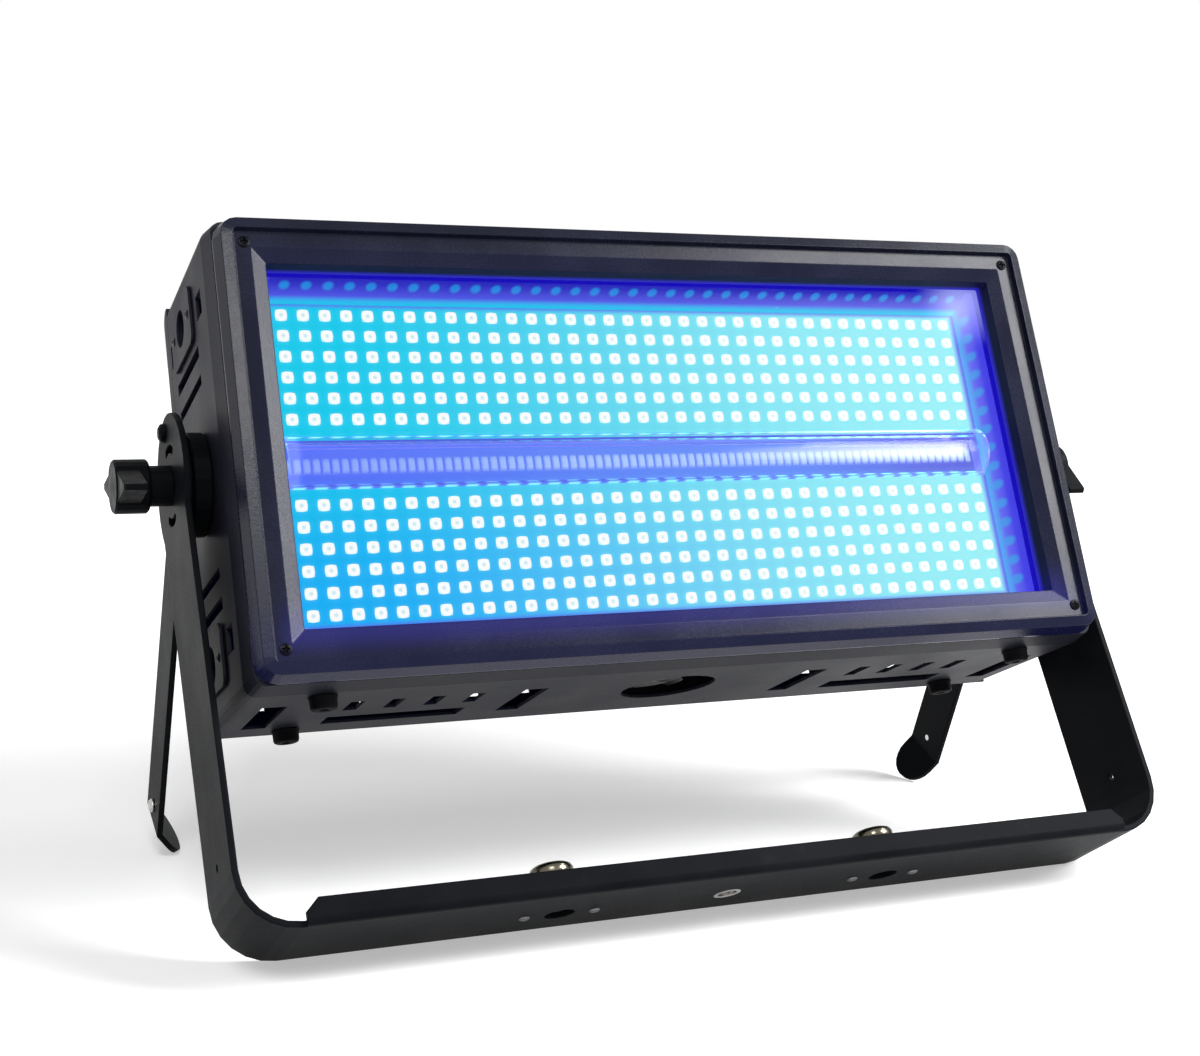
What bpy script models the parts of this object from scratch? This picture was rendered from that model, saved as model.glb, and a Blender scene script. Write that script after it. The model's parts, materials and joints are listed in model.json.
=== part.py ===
"""Stage strobe wash panel that tilts in a flat-bar yoke with two folding rear legs."""
import math
import bpy
import bmesh
from mathutils import Matrix

MM = 0.001
GAP = 0.3 * MM
FIT = 0.3 * MM

# Stance
YOKE_LEAN = math.radians(33.9)
HOUSING_TILT = math.radians(25.0)
LEG_LEAN = math.radians(21.4)

# Housing shell and rear cover
BODY_WIDTH = 400.0 * MM
BODY_HEIGHT = 200.0 * MM
SHEET = 1.5 * MM
SHELL_FRONT = 7.5 * MM
SHELL_FOLD = 20.0 * MM
SHELL_REAR = 101.5 * MM
FRONT_TAPER = 1.7 * MM
EDGE_RADIUS = 5.0 * MM
REAR_DEPTH = 7.7 * MM
REAR_RADIUS = 7.2 * MM
PIVOT_DEPTH = 56.5 * MM
HALF_WIDTH = BODY_WIDTH / 2
HALF_HEIGHT = BODY_HEIGHT / 2

# Bezel, measured as inset from the rim outline and depth
RIM_WIDTH = BODY_WIDTH - 7.7 * MM
RIM_HEIGHT = BODY_HEIGHT - 7.5 * MM
RIM_RADIUS = 7.0 * MM
RIM_FRONT = -1.7 * MM
FLANGE_OUTSET = 2.0 * MM
FLANGE_BACK = SHELL_FRONT - GAP
CREST_INSET = 4.7 * MM
CREST_FRONT = -2.8 * MM
STEP_INSET = 5.5 * MM
FLAT_INSET = 12.3 * MM
LIP_INSET = 18.4 * MM
LIP_FRONT = 2.5 * MM
LIP_BACK = 12.0 * MM
LIP_WALL = 2.5 * MM
BEZEL_INSIDE = 5.2 * MM
CORNER_STEPS = 4

# Glass, gasket and reflector
GLASS_LAP = 2.7 * MM
GLASS_HALF_WIDTH = RIM_WIDTH / 2 - LIP_INSET + GLASS_LAP
GLASS_HALF_HEIGHT = RIM_HEIGHT / 2 - LIP_INSET + GLASS_LAP
GLASS_THICKNESS = 2.0 * MM
GASKET_WIDTH = 3.0 * MM
GASKET_THICKNESS = 0.7 * MM
MIRROR_INSET = 3.5 * MM
MIRROR_SIDE_TAPER = 3.1 * MM
MIRROR_TOP_TAPER = 5.2 * MM
MIRROR_FRONT_HALF_WIDTH = GLASS_HALF_WIDTH - MIRROR_INSET
MIRROR_FRONT_HALF_HEIGHT = GLASS_HALF_HEIGHT - MIRROR_INSET
MIRROR_BACK_HALF_WIDTH = MIRROR_FRONT_HALF_WIDTH - MIRROR_SIDE_TAPER
MIRROR_BACK_HALF_HEIGHT = MIRROR_FRONT_HALF_HEIGHT - MIRROR_TOP_TAPER
MIRROR_WALL = 1.0 * MM
MIRROR_FLANGE = 5.0 * MM

# LED boards, strobe row and heat sink
BOARD_FRONT = 29.4 * MM
BOARD_THICKNESS = 1.6 * MM
BOARD_HALF_WIDTH = MIRROR_BACK_HALF_WIDTH - GAP
BOARD_OUTER_EDGE = MIRROR_BACK_HALF_HEIGHT - GAP
LENS_RADIUS = 11.6 * MM
LENS_WALL = 1.6 * MM
LENS_END_GAP = 1.5 * MM
LENS_HALF_LENGTH = BOARD_HALF_WIDTH - LENS_END_GAP
BOARD_INNER_EDGE = LENS_RADIUS + GAP
STROBE_BOARD_HALF_HEIGHT = LENS_RADIUS - LENS_WALL - 1.2 * MM
STROBE_BOARD_DEPTH = 5.2 * MM
SINK_HALF_WIDTH = BOARD_HALF_WIDTH - LENS_END_GAP
SINK_HALF_HEIGHT = BOARD_OUTER_EDGE + 2.5 * MM
SINK_BASE = 10.0 * MM
SINK_REAR = 58.0 * MM
FIN_COUNT = 29
FIN_THICKNESS = 2.5 * MM
TAB_HALF_HEIGHT = 15.0 * MM

# Openings of the side panels, as depth and height ranges
SIDE_PLATE_DEPTH = (46.5 * MM, 89.0 * MM)
SIDE_PLATE_HEIGHT = (HALF_HEIGHT - 38.3 * MM, HALF_HEIGHT - 11.9 * MM)
SIDE_PLATE_THICKNESS = 1.2 * MM
SIDE_PLATE_RADIUS = 4.0 * MM
SIDE_HOLE_DEPTH = 68.1 * MM
SIDE_HOLE_HEIGHT = HALF_HEIGHT - 24.1 * MM
SIDE_HOLE_RADIUS = 8.3 * MM
SIDE_SLOTS = (
    (28.9 * MM, 39.6 * MM, HALF_HEIGHT - 32.9 * MM, HALF_HEIGHT - 22.0 * MM),
    (92.4 * MM, 99.0 * MM, HALF_HEIGHT - 31.3 * MM, HALF_HEIGHT - 20.7 * MM),
    (42.2 * MM, 90.7 * MM, HALF_HEIGHT - 47.6 * MM, HALF_HEIGHT - 42.4 * MM),
    (42.2 * MM, 90.7 * MM, HALF_HEIGHT - 59.9 * MM, HALF_HEIGHT - 55.4 * MM),
)

# Openings of the bottom and top panels, as width and depth ranges on each side
FAN_HOLE_RADIUS = 21.7 * MM
FAN_DEPTH = 57.1 * MM
PANEL_SLOTS = (
    (63.4 * MM, 74.1 * MM, 41.2 * MM, 83.4 * MM),
    (91.9 * MM, 97.7 * MM, 41.9 * MM, 58.7 * MM),
    (109.5 * MM, 115.3 * MM, 41.9 * MM, 58.7 * MM),
    (127.4 * MM, 133.1 * MM, 41.9 * MM, 58.7 * MM),
    (144.8 * MM, 150.9 * MM, 41.9 * MM, 58.7 * MM),
    (92.0 * MM, 154.0 * MM, 71.0 * MM, 85.0 * MM),
    (HALF_WIDTH - 22.5 * MM, HALF_WIDTH - 11.9 * MM, 42.0 * MM, 85.5 * MM),
)

# Rear cover openings
REAR_SLOT_COUNT = 15
REAR_SLOT_PITCH = (BODY_WIDTH - 50.0 * MM) / (REAR_SLOT_COUNT - 1)
REAR_SLOT_WIDTH = 7.0 * MM
REAR_SLOT_LOW = HALF_HEIGHT - 38.0 * MM
REAR_SLOT_HIGH = HALF_HEIGHT - 12.0 * MM

# Rear fittings
SOCKET_ROW = -35.0 * MM
POWER_INLET_X = -HALF_WIDTH + 60.0 * MM
POWER_OUTLET_X = POWER_INLET_X + 40.0 * MM
FUSE_X = POWER_OUTLET_X + 40.0 * MM
DATA_OUTLET_X = HALF_WIDTH - 100.0 * MM
DATA_INLET_X = DATA_OUTLET_X - 40.0 * MM
POWER_BODY_WIDTH = 28.0 * MM
POWER_BODY_HEIGHT = 21.0 * MM
POWER_BODY_DEPTH = 18.0 * MM
POWER_RECESS_WIDTH = 24.0 * MM
POWER_RECESS_HEIGHT = 16.0 * MM
POWER_RECESS_DEPTH = 14.0 * MM
DATA_BODY_RADIUS = 11.5 * MM
DATA_BODY_DEPTH = 20.0 * MM
DATA_RECESS_RADIUS = 9.3 * MM
DATA_RECESS_DEPTH = 13.0 * MM
FLANGE_BORDER = 3.0 * MM
FLANGE_THICKNESS = 1.6 * MM
FUSE_BODY_RADIUS = 6.0 * MM
FUSE_BODY_DEPTH = 22.0 * MM
FUSE_CAP_RADIUS = 8.0 * MM
FUSE_CAP_HEIGHT = 7.0 * MM
DISPLAY_X = HALF_WIDTH - 105.0 * MM
DISPLAY_Z = 36.0 * MM
DISPLAY_WIDTH = 60.0 * MM
DISPLAY_HEIGHT = 24.0 * MM
DISPLAY_LEDGE = 3.0 * MM
DISPLAY_THICKNESS = 2.0 * MM
BUTTON_COUNT = 4
BUTTON_PITCH = 15.0 * MM
BUTTON_Z = 12.0 * MM
BUTTON_RADIUS = 3.6 * MM
BUTTON_COLLAR = 1.4 * MM
BUTTON_PROUD = 2.4 * MM
BUTTON_STEM = 11.3 * MM

# Parts inside the housing
SUPPLY_X = (-HALF_WIDTH + 60.0 * MM, 20.0 * MM)
SUPPLY_Z = (-1.0 * MM, 57.0 * MM)
SUPPLY_DEPTH = 42.0 * MM
CONTROL_X = (HALF_WIDTH - 156.0 * MM, HALF_WIDTH - 54.0 * MM)
CONTROL_Z = (0.0 * MM, 56.0 * MM)
CONTROL_STANDOFF = 11.0 * MM
CONTROL_THICKNESS = 1.6 * MM
STANDOFF_RADIUS = 3.0 * MM
FAN_SIZE = 50.0 * MM
FAN_HEIGHT = 15.0 * MM
FAN_DUCT_RADIUS = 23.5 * MM
FAN_BOSS_RADIUS = 9.0 * MM
FAN_BACK = 3.0 * MM
FAN_SHAFT_RADIUS = 1.5 * MM
ROTOR_HUB_RADIUS = 9.6 * MM
BLADE_COUNT = 7
BLADE_TIP_RADIUS = 22.2 * MM
BLADE_CHORD = 11.0 * MM
BLADE_THICKNESS = 1.0 * MM
BLADE_PITCH = math.radians(38.0)

# Rubber feet
FOOT_RADIUS = 6.5 * MM
FOOT_HEIGHT = 7.5 * MM
FOOT_X = HALF_WIDTH - 33.0 * MM
FOOT_DEPTHS = (26.0 * MM, 93.0 * MM)

# Pivot stack on each side
DISC_RADIUS = 22.2 * MM
DISC_THICKNESS = 7.95 * MM
STUD_RADIUS = 4.0 * MM
STUD_HEAD_RADIUS = 10.0 * MM
STUD_HEAD_HEIGHT = 2.0 * MM
STUD_DEPTH_IN_KNOB = 12.2 * MM
LATHE_STEPS = 24

# Yoke
YOKE_SHEET = 2.5 * MM
YOKE_FRONT = -23.2 * MM
YOKE_REAR = 26.9 * MM
YOKE_DROP = 197.5 * MM
YOKE_BEND = 24.0 * MM
EAR_RADIUS = 30.6 * MM
EAR_STEPS = 20
BEND_STEPS = 6
LIP_FACE = -26.0 * MM
LIP_HEIGHT = 10.3 * MM
LIP_END_GAP = 1.35 * MM
LIP_CORNER = 5.0 * MM
ARM_HOLE_RADIUS = 1.75 * MM
ARM_HOLE_DROP = 165.0 * MM
ARM_HOLE_OFFSET = 1.5 * MM
ARC_SLOT_INNER = 13.7 * MM
ARC_SLOT_OUTER = 17.3 * MM
ARC_SLOT_HALF_ANGLE = math.radians(25.0)
ARC_SLOT_CENTRES = (math.radians(110.0), math.radians(290.0))

# Fittings of the yoke
SOCKET_SPACING = 77.0 * MM
SOCKET_OFFSET = 5.0 * MM
SOCKET_RADIUS = 9.0 * MM
SOCKET_HEIGHT = 15.0 * MM
SOCKET_WALL = 1.2 * MM
SOCKET_PLATE_HALF = 22.0 * MM
SOCKET_PLATE_THICKNESS = 1.5 * MM
SOCKET_HOLE_RADIUS = 6.5 * MM
INSERT_RADIUS = 6.0 * MM
INSERT_BORE = 4.2 * MM
INSERT_FLANGE = 9.0 * MM
INSERT_FLANGE_HEIGHT = 4.0 * MM
EAR_SCREW_HEIGHT = 25.0 * MM
EAR_SCREW_HEAD = 4.3 * MM
EAR_SCREW_HEAD_HEIGHT = 2.6 * MM
EAR_SCREW_SHANK = 2.0 * MM

# Rear legs
LEG_SHEET = 2.5 * MM
LEG_HALF_WIDTH = 13.0 * MM
LEG_TOP_RADIUS = 20.0 * MM
LEG_FOOT_ANGLE = math.radians(35.0)
LEG_FOOT_LENGTH = 20.0 * MM
LEG_STUD_DROP = 166.5 * MM
LEG_STUD_RADIUS = 1.6 * MM
LEG_STUD_HEAD = 3.2 * MM
LEG_STUD_HEIGHT = 1.6 * MM
ROUND_STEPS = 12

# Knobs, measured from the ear outwards
KNOB_NECK_RADIUS = 8.6 * MM
KNOB_NECK_LENGTH = 9.45 * MM
KNOB_HUB_RADIUS = 11.4 * MM
KNOB_LENGTH = 23.75 * MM
WING_START = 13.0 * MM
WING_LENGTH = 31.0 * MM
WING_WIDTH = 9.6 * MM
WING_CHAMFER = 0.8 * MM
WING_TIP = 1.2 * MM
KNOB_TURNS = {"left": math.radians(18.5), "right": math.radians(44.5)}

# Positions that follow from the sizes above
PIVOT_HEIGHT = YOKE_REAR * math.sin(YOKE_LEAN) + YOKE_DROP * math.cos(YOKE_LEAN)
DISC_FACE = HALF_WIDTH + GAP
LEG_FACE = DISC_FACE + DISC_THICKNESS + GAP + LEG_SHEET
EAR_FACE = LEG_FACE + GAP + YOKE_SHEET
KNOB_FACE = EAR_FACE + GAP
BORE_RADIUS = STUD_RADIUS + FIT
GLASS_FRONT = LIP_BACK + GAP
GASKET_FRONT = GLASS_FRONT + GLASS_THICKNESS + GAP
REFLECTOR_FRONT = GASKET_FRONT + GASKET_THICKNESS + GAP
SINK_FRONT = BOARD_FRONT + BOARD_THICKNESS + GAP
STROBE_BOARD_FRONT = BOARD_FRONT + STROBE_BOARD_DEPTH + GAP
GROOVE_FLOOR = STROBE_BOARD_FRONT + BOARD_THICKNESS + GAP
COVER_FRONT = SHELL_REAR + GAP
COVER_REAR = COVER_FRONT + REAR_DEPTH
COVER_INSIDE = COVER_REAR - SHEET
LIP_HALF_LENGTH = EAR_FACE - YOKE_BEND - LIP_END_GAP

UPRIGHT = Matrix.Rotation(math.pi / 2, 4, 'X')
SIDEWAYS = Matrix(((0, 0, 1, 0), (1, 0, 0, 0), (0, 1, 0, 0), (0, 0, 0, 1)))
SIDES = ((-1, "left"), (1, "right"))

for stale in list(bpy.data.objects):
    bpy.data.objects.remove(stale, do_unlink=True)

PARTS = bpy.data.collections.new("stage_strobe_wash_panel")
CUTTERS = bpy.data.collections.new("cutters")
bpy.context.scene.collection.children.link(PARTS)
bpy.context.scene.collection.children.link(CUTTERS)

PIVOT = Matrix.Translation((0, 0, PIVOT_HEIGHT))
HOUSING = PIVOT @ Matrix.Rotation(-HOUSING_TILT, 4, 'X') @ Matrix.Translation((0, -PIVOT_DEPTH, 0))
YOKE = PIVOT @ Matrix.Rotation(-YOKE_LEAN, 4, 'X')
LEGS = PIVOT @ Matrix.Rotation(LEG_LEAN, 4, 'X')


def material(name, color, metallic, roughness, transmission=0.0):
    """Plain Principled material."""
    mat = bpy.data.materials.new(name)
    mat.use_nodes = True
    shader = mat.node_tree.nodes["Principled BSDF"]
    shader.inputs["Base Color"].default_value = (*color, 1.0)
    shader.inputs["Metallic"].default_value = metallic
    shader.inputs["Roughness"].default_value = roughness
    shader.inputs["Transmission Weight"].default_value = transmission
    mat.diffuse_color = (*color, 1.0)
    return mat


def outward(side):
    """Turn that sends the local Z axis to the outside of one side."""
    return Matrix.Rotation(side * math.pi / 2, 4, 'Y')


def link_part(name, mesh, mat, frame, origin=(0, 0, 0), turn=None):
    """Put a finished mesh into the parts collection as a named object."""
    obj = bpy.data.objects.new(name, mesh)
    obj.matrix_basis = frame @ Matrix.Translation(origin) @ (turn or Matrix())
    mesh.name = name
    mesh.materials.append(mat)
    PARTS.objects.link(obj)
    return obj


def link_cutter(name, mesh, frame, origin=(0, 0, 0), turn=None):
    """Put a cutter mesh into its own hidden collection."""
    obj = bpy.data.objects.new(name, mesh)
    obj.matrix_basis = frame @ Matrix.Translation(origin) @ (turn or Matrix())
    mesh.name = name
    obj.hide_render = True
    obj.display_type = 'WIRE'
    CUTTERS.objects.link(obj)
    return obj


def combine(obj, other, operation='DIFFERENCE'):
    """Boolean one object with another."""
    mod = obj.modifiers.new(operation.lower(), 'BOOLEAN')
    mod.operation = operation
    mod.solver = 'EXACT'
    mod.object = other


def box_mesh(boxes):
    """Mesh of separate boxes, each given by its low and high corner."""
    bm = bmesh.new()
    for low, high in boxes:
        centre = [(a + b) / 2 for a, b in zip(low, high)]
        size = [b - a for a, b in zip(low, high)]
        matrix = Matrix.Translation(centre) @ Matrix.Diagonal((*size, 1))
        bmesh.ops.create_cube(bm, size=1.0, matrix=matrix)
    return to_mesh(bm)


def rod_mesh(rods, steps=LATHE_STEPS):
    """Mesh of separate cylinders, each given by centre, turn, radius and length."""
    bm = bmesh.new()
    for centre, turn, radius, length in rods:
        matrix = Matrix.Translation(centre) @ turn
        bmesh.ops.create_cone(
            bm, cap_ends=True, segments=steps, radius1=radius, radius2=radius,
            depth=length, matrix=matrix)
    return to_mesh(bm)


def to_mesh(bm):
    """Free a bmesh into a new mesh with outward faces."""
    bmesh.ops.recalc_face_normals(bm, faces=bm.faces)
    mesh = bpy.data.meshes.new("mesh")
    bm.to_mesh(mesh)
    bm.free()
    return mesh


def rectangle(x0, x1, y0, y1):
    """Corner points of a rectangle."""
    return [(x0, y0), (x1, y0), (x1, y1), (x0, y1)]


def arc(cx, cy, radius, start, end, steps):
    """Points along an arc, ends included."""
    angles = [start + (end - start) * i / steps for i in range(steps + 1)]
    return [(cx + radius * math.cos(a), cy + radius * math.sin(a)) for a in angles]


def circle(cx, cy, radius, steps=LATHE_STEPS):
    """Points round a circle."""
    return arc(cx, cy, radius, 0, 2 * math.pi, steps)[:-1]


def rounded(x0, x1, y0, y1, radius, steps=CORNER_STEPS):
    """Points round a rectangle with rounded corners."""
    points = []
    quarter = math.pi / 2
    centres = ((x1 - radius, y1 - radius), (x0 + radius, y1 - radius),
               (x0 + radius, y0 + radius), (x1 - radius, y0 + radius))
    for index, (cx, cy) in enumerate(centres):
        points += arc(cx, cy, radius, index * quarter, (index + 1) * quarter, steps)
    return points


def plate_mesh(outlines, low, high, turn=None):
    """Filled outline with holes, extruded between two heights, then turned."""
    curve = bpy.data.curves.new("outline", 'CURVE')
    curve.dimensions = '2D'
    curve.fill_mode = 'BOTH'
    curve.extrude = (high - low) / 2
    for points in outlines:
        spline = curve.splines.new('POLY')
        spline.points.add(len(points) - 1)
        for target, (x, y) in zip(spline.points, points):
            target.co = (x, y, 0, 1)
        spline.use_cyclic_u = True
    holder = bpy.data.objects.new("outline", curve)
    bpy.context.scene.collection.objects.link(holder)
    bpy.context.view_layer.update()
    mesh = bpy.data.meshes.new_from_object(holder)
    bpy.data.objects.remove(holder, do_unlink=True)
    bm = bmesh.new()
    bm.from_mesh(mesh)
    bpy.data.meshes.remove(mesh)
    bmesh.ops.remove_doubles(bm, verts=bm.verts, dist=0.002 * MM)
    bmesh.ops.translate(bm, verts=bm.verts, vec=(0, 0, (low + high) / 2))
    bmesh.ops.transform(bm, matrix=turn or Matrix(), verts=bm.verts)
    return to_mesh(bm)


def ring_mesh(rings):
    """Closed frame lofted through rounded rectangles of half width, half height, depth, radius."""
    bm = bmesh.new()
    loops = []
    for half_w, half_h, depth, radius in rings:
        points = rounded(-half_w, half_w, -half_h, half_h, radius)
        loops.append([bm.verts.new((x, depth, z)) for x, z in points])
    for index, loop in enumerate(loops):
        following = loops[(index + 1) % len(loops)]
        count = len(loop)
        for i in range(count):
            j = (i + 1) % count
            bm.faces.new((loop[i], loop[j], following[j], following[i]))
    return to_mesh(bm)


def turned_part(name, profile, closed, mat, frame, origin=(0, 0, 0), turn=None, steps=LATHE_STEPS):
    """Turned body from a radius and height profile, about the local Z axis."""
    mesh = bpy.data.meshes.new(name)
    count = len(profile)
    edges = [(i, i + 1) for i in range(count - 1)]
    if closed:
        edges.append((count - 1, 0))
    mesh.from_pydata([(r, 0, z) for r, z in profile], edges, [])
    obj = link_part(name, mesh, mat, frame, origin, turn)
    screw = obj.modifiers.new("turn", 'SCREW')
    screw.axis = 'Z'
    screw.steps = steps
    screw.render_steps = steps
    screw.use_merge_vertices = True
    screw.merge_threshold = 0.00001
    return obj


def sheet_part(name, faces, thickness, mat, frame):
    """Folded sheet built from outer faces and thickened inwards."""
    bm = bmesh.new()
    known = {}
    for face in faces:
        corners = []
        for point in face:
            key = tuple(round(value / MM, 3) for value in point)
            if key not in known:
                known[key] = bm.verts.new(point)
            if known[key] not in corners:
                corners.append(known[key])
        bm.faces.new(corners)
    mesh = bpy.data.meshes.new(name)
    bm.to_mesh(mesh)
    bm.free()
    obj = link_part(name, mesh, mat, frame)
    solid = obj.modifiers.new("sheet", 'SOLIDIFY')
    solid.thickness = thickness
    solid.offset = -1.0
    solid.use_even_offset = True
    return obj


def mirrored_boxes(ranges, level_low, level_high):
    """Boxes through a horizontal panel, repeated on both sides."""
    boxes = []
    for x0, x1, y0, y1 in ranges:
        boxes.append(((x0, y0, level_low), (x1, y1, level_high)))
        boxes.append(((-x1, y0, level_low), (-x0, y1, level_high)))
    return boxes


def build_front(black, glass, rubber, mirror):
    """Bezel, glass, gasket and reflector."""
    half_w = RIM_WIDTH / 2
    half_h = RIM_HEIGHT / 2
    inside = LIP_INSET - LIP_WALL
    profile = (
        (-FLANGE_OUTSET, FLANGE_BACK), (-FLANGE_OUTSET, FLANGE_BACK - 1.5 * MM), (0, RIM_FRONT),
        (CREST_INSET, CREST_FRONT), (STEP_INSET, 0), (FLAT_INSET, 0), (LIP_INSET, LIP_FRONT),
        (LIP_INSET, LIP_BACK), (inside, LIP_BACK), (inside, BEZEL_INSIDE),
        (1.0 * MM, BEZEL_INSIDE), (0, FLANGE_BACK),
    )
    rings = []
    for inset, depth in profile:
        radius = max(RIM_RADIUS - inset, 0.8 * MM)
        rings.append((half_w - inset, half_h - inset, depth, radius))
    link_part("bezel", ring_mesh(rings), black, HOUSING)

    pane = (((-GLASS_HALF_WIDTH, GLASS_FRONT, -GLASS_HALF_HEIGHT),
             (GLASS_HALF_WIDTH, GLASS_FRONT + GLASS_THICKNESS, GLASS_HALF_HEIGHT)),)
    link_part("front_glass", box_mesh(pane), glass, HOUSING)

    inner_w = GLASS_HALF_WIDTH - GASKET_WIDTH
    inner_h = GLASS_HALF_HEIGHT - GASKET_WIDTH
    back = GASKET_FRONT + GASKET_THICKNESS
    rings = (
        (GLASS_HALF_WIDTH, GLASS_HALF_HEIGHT, GASKET_FRONT, 1.0 * MM),
        (inner_w, inner_h, GASKET_FRONT, 1.0 * MM),
        (inner_w, inner_h, back, 1.0 * MM),
        (GLASS_HALF_WIDTH, GLASS_HALF_HEIGHT, back, 1.0 * MM),
    )
    link_part("glass_gasket", ring_mesh(rings), rubber, HOUSING)

    front_w, front_h = MIRROR_FRONT_HALF_WIDTH, MIRROR_FRONT_HALF_HEIGHT
    back_w, back_h = MIRROR_BACK_HALF_WIDTH, MIRROR_BACK_HALF_HEIGHT
    wall = MIRROR_WALL
    mirror_back = BOARD_FRONT - GAP
    rings = (
        (front_w, front_h, REFLECTOR_FRONT, 1.0 * MM),
        (front_w + MIRROR_FLANGE, front_h + MIRROR_FLANGE, REFLECTOR_FRONT, 1.0 * MM),
        (front_w + MIRROR_FLANGE, front_h + MIRROR_FLANGE, REFLECTOR_FRONT + wall, 1.0 * MM),
        (front_w + wall, front_h + wall, REFLECTOR_FRONT + wall, 1.0 * MM),
        (back_w + wall, back_h + wall, mirror_back, 1.0 * MM),
        (back_w, back_h, mirror_back, 1.0 * MM),
    )
    link_part("reflector", ring_mesh(rings), mirror, HOUSING)


def build_light_engine(board, clear, aluminium):
    """LED boards, strobe row with its lens, and the heat sink."""
    back = BOARD_FRONT + BOARD_THICKNESS
    for sign, name in ((1, "led_board_upper"), (-1, "led_board_lower")):
        levels = sorted((sign * BOARD_INNER_EDGE, sign * BOARD_OUTER_EDGE))
        mesh = box_mesh((((-BOARD_HALF_WIDTH, BOARD_FRONT, levels[0]),
                          (BOARD_HALF_WIDTH, back, levels[1])),))
        link_part(name, mesh, board, HOUSING)

    strobe = box_mesh((((-LENS_HALF_LENGTH, STROBE_BOARD_FRONT, -STROBE_BOARD_HALF_HEIGHT),
                        (LENS_HALF_LENGTH, STROBE_BOARD_FRONT + BOARD_THICKNESS, STROBE_BOARD_HALF_HEIGHT)),))
    link_part("strobe_board", strobe, board, HOUSING)

    lens_back = SINK_FRONT - GAP
    outline = [(lens_back - x, z) for x, z in arc(0, 0, LENS_RADIUS, -math.pi / 2, math.pi / 2, 12)]
    inner = arc(0, 0, LENS_RADIUS - LENS_WALL, math.pi / 2, -math.pi / 2, 12)
    outline += [(lens_back - x, z) for x, z in inner]
    lens = plate_mesh([outline], -LENS_HALF_LENGTH, LENS_HALF_LENGTH, SIDEWAYS)
    link_part("strobe_lens", lens, clear, HOUSING)

    base_back = SINK_FRONT + SINK_BASE
    pitch = (2 * SINK_HALF_WIDTH - FIN_THICKNESS) / (FIN_COUNT - 1)
    comb = [(-SINK_HALF_WIDTH, SINK_FRONT), (SINK_HALF_WIDTH, SINK_FRONT)]
    for index in reversed(range(FIN_COUNT)):
        left = -SINK_HALF_WIDTH + index * pitch
        right = left + FIN_THICKNESS
        if index < FIN_COUNT - 1:
            comb.append((right, base_back))
        comb += [(right, SINK_REAR), (left, SINK_REAR)]
        if index > 0:
            comb.append((left, base_back))
    sink = plate_mesh([comb], -SINK_HALF_HEIGHT, SINK_HALF_HEIGHT)
    heat_sink = link_part("heat_sink", sink, aluminium, HOUSING)
    half_groove = STROBE_BOARD_HALF_HEIGHT + FIT
    groove = box_mesh((((-HALF_WIDTH, SINK_FRONT - 5 * MM, -half_groove),
                        (HALF_WIDTH, GROOVE_FLOOR, half_groove)),))
    tab_end = HALF_WIDTH - SHEET - GAP
    tabs = []
    for side, _ in SIDES:
        inner, outer = side * (SINK_HALF_WIDTH - 1.0 * MM), side * tab_end
        low, high = sorted((inner, outer))
        tabs.append(((low, base_back - 2 * MM, -TAB_HALF_HEIGHT),
                     (high, base_back - 0.5 * MM, TAB_HALF_HEIGHT)))
    combine(heat_sink, link_cutter("sink_tabs", box_mesh(tabs), HOUSING), 'UNION')
    combine(heat_sink, link_cutter("sink_groove", groove, HOUSING))


def build_shell(paint):
    """Housing shell with its openings."""
    w, h, t = HALF_WIDTH, HALF_HEIGHT, SHEET
    rings = (
        (w - FRONT_TAPER, h - FRONT_TAPER, SHELL_FRONT, EDGE_RADIUS),
        (w, h, SHELL_FOLD, EDGE_RADIUS),
        (w, h, SHELL_REAR, EDGE_RADIUS),
        (w - t, h - t, SHELL_REAR, EDGE_RADIUS - t),
        (w - t, h - t, SHELL_FOLD, EDGE_RADIUS - t),
        (w - t - FRONT_TAPER, h - t - FRONT_TAPER, SHELL_FRONT, EDGE_RADIUS - t),
    )
    shell = link_part("housing_shell", ring_mesh(rings), paint, HOUSING)
    boxes = mirrored_boxes(PANEL_SLOTS, -h - 5 * MM, -h + 5 * MM)
    boxes += mirrored_boxes(PANEL_SLOTS, h - 5 * MM, h + 5 * MM)
    for side, _ in SIDES:
        low, high = sorted((side * (w - 5 * MM), side * (w + 5 * MM)))
        for y0, y1, z0, z1 in SIDE_SLOTS:
            boxes.append(((low, y0, z0), (high, y1, z1)))
            boxes.append(((low, y0, -z1), (high, y1, -z0)))
    combine(shell, link_cutter("shell_slots", box_mesh(boxes), HOUSING))
    sideways = outward(1)
    rods = [((0, PIVOT_DEPTH, 0), sideways, BORE_RADIUS, 2 * w + 20 * MM)]
    for sign in (1, -1):
        rods.append(((0, SIDE_HOLE_DEPTH, sign * SIDE_HOLE_HEIGHT), sideways,
                     SIDE_HOLE_RADIUS + 1 * MM, 2 * w + 20 * MM))
    rods.append(((0, FAN_DEPTH, -h), Matrix(), FAN_HOLE_RADIUS, 10 * MM))
    combine(shell, link_cutter("shell_holes", rod_mesh(rods), HOUSING))


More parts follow.
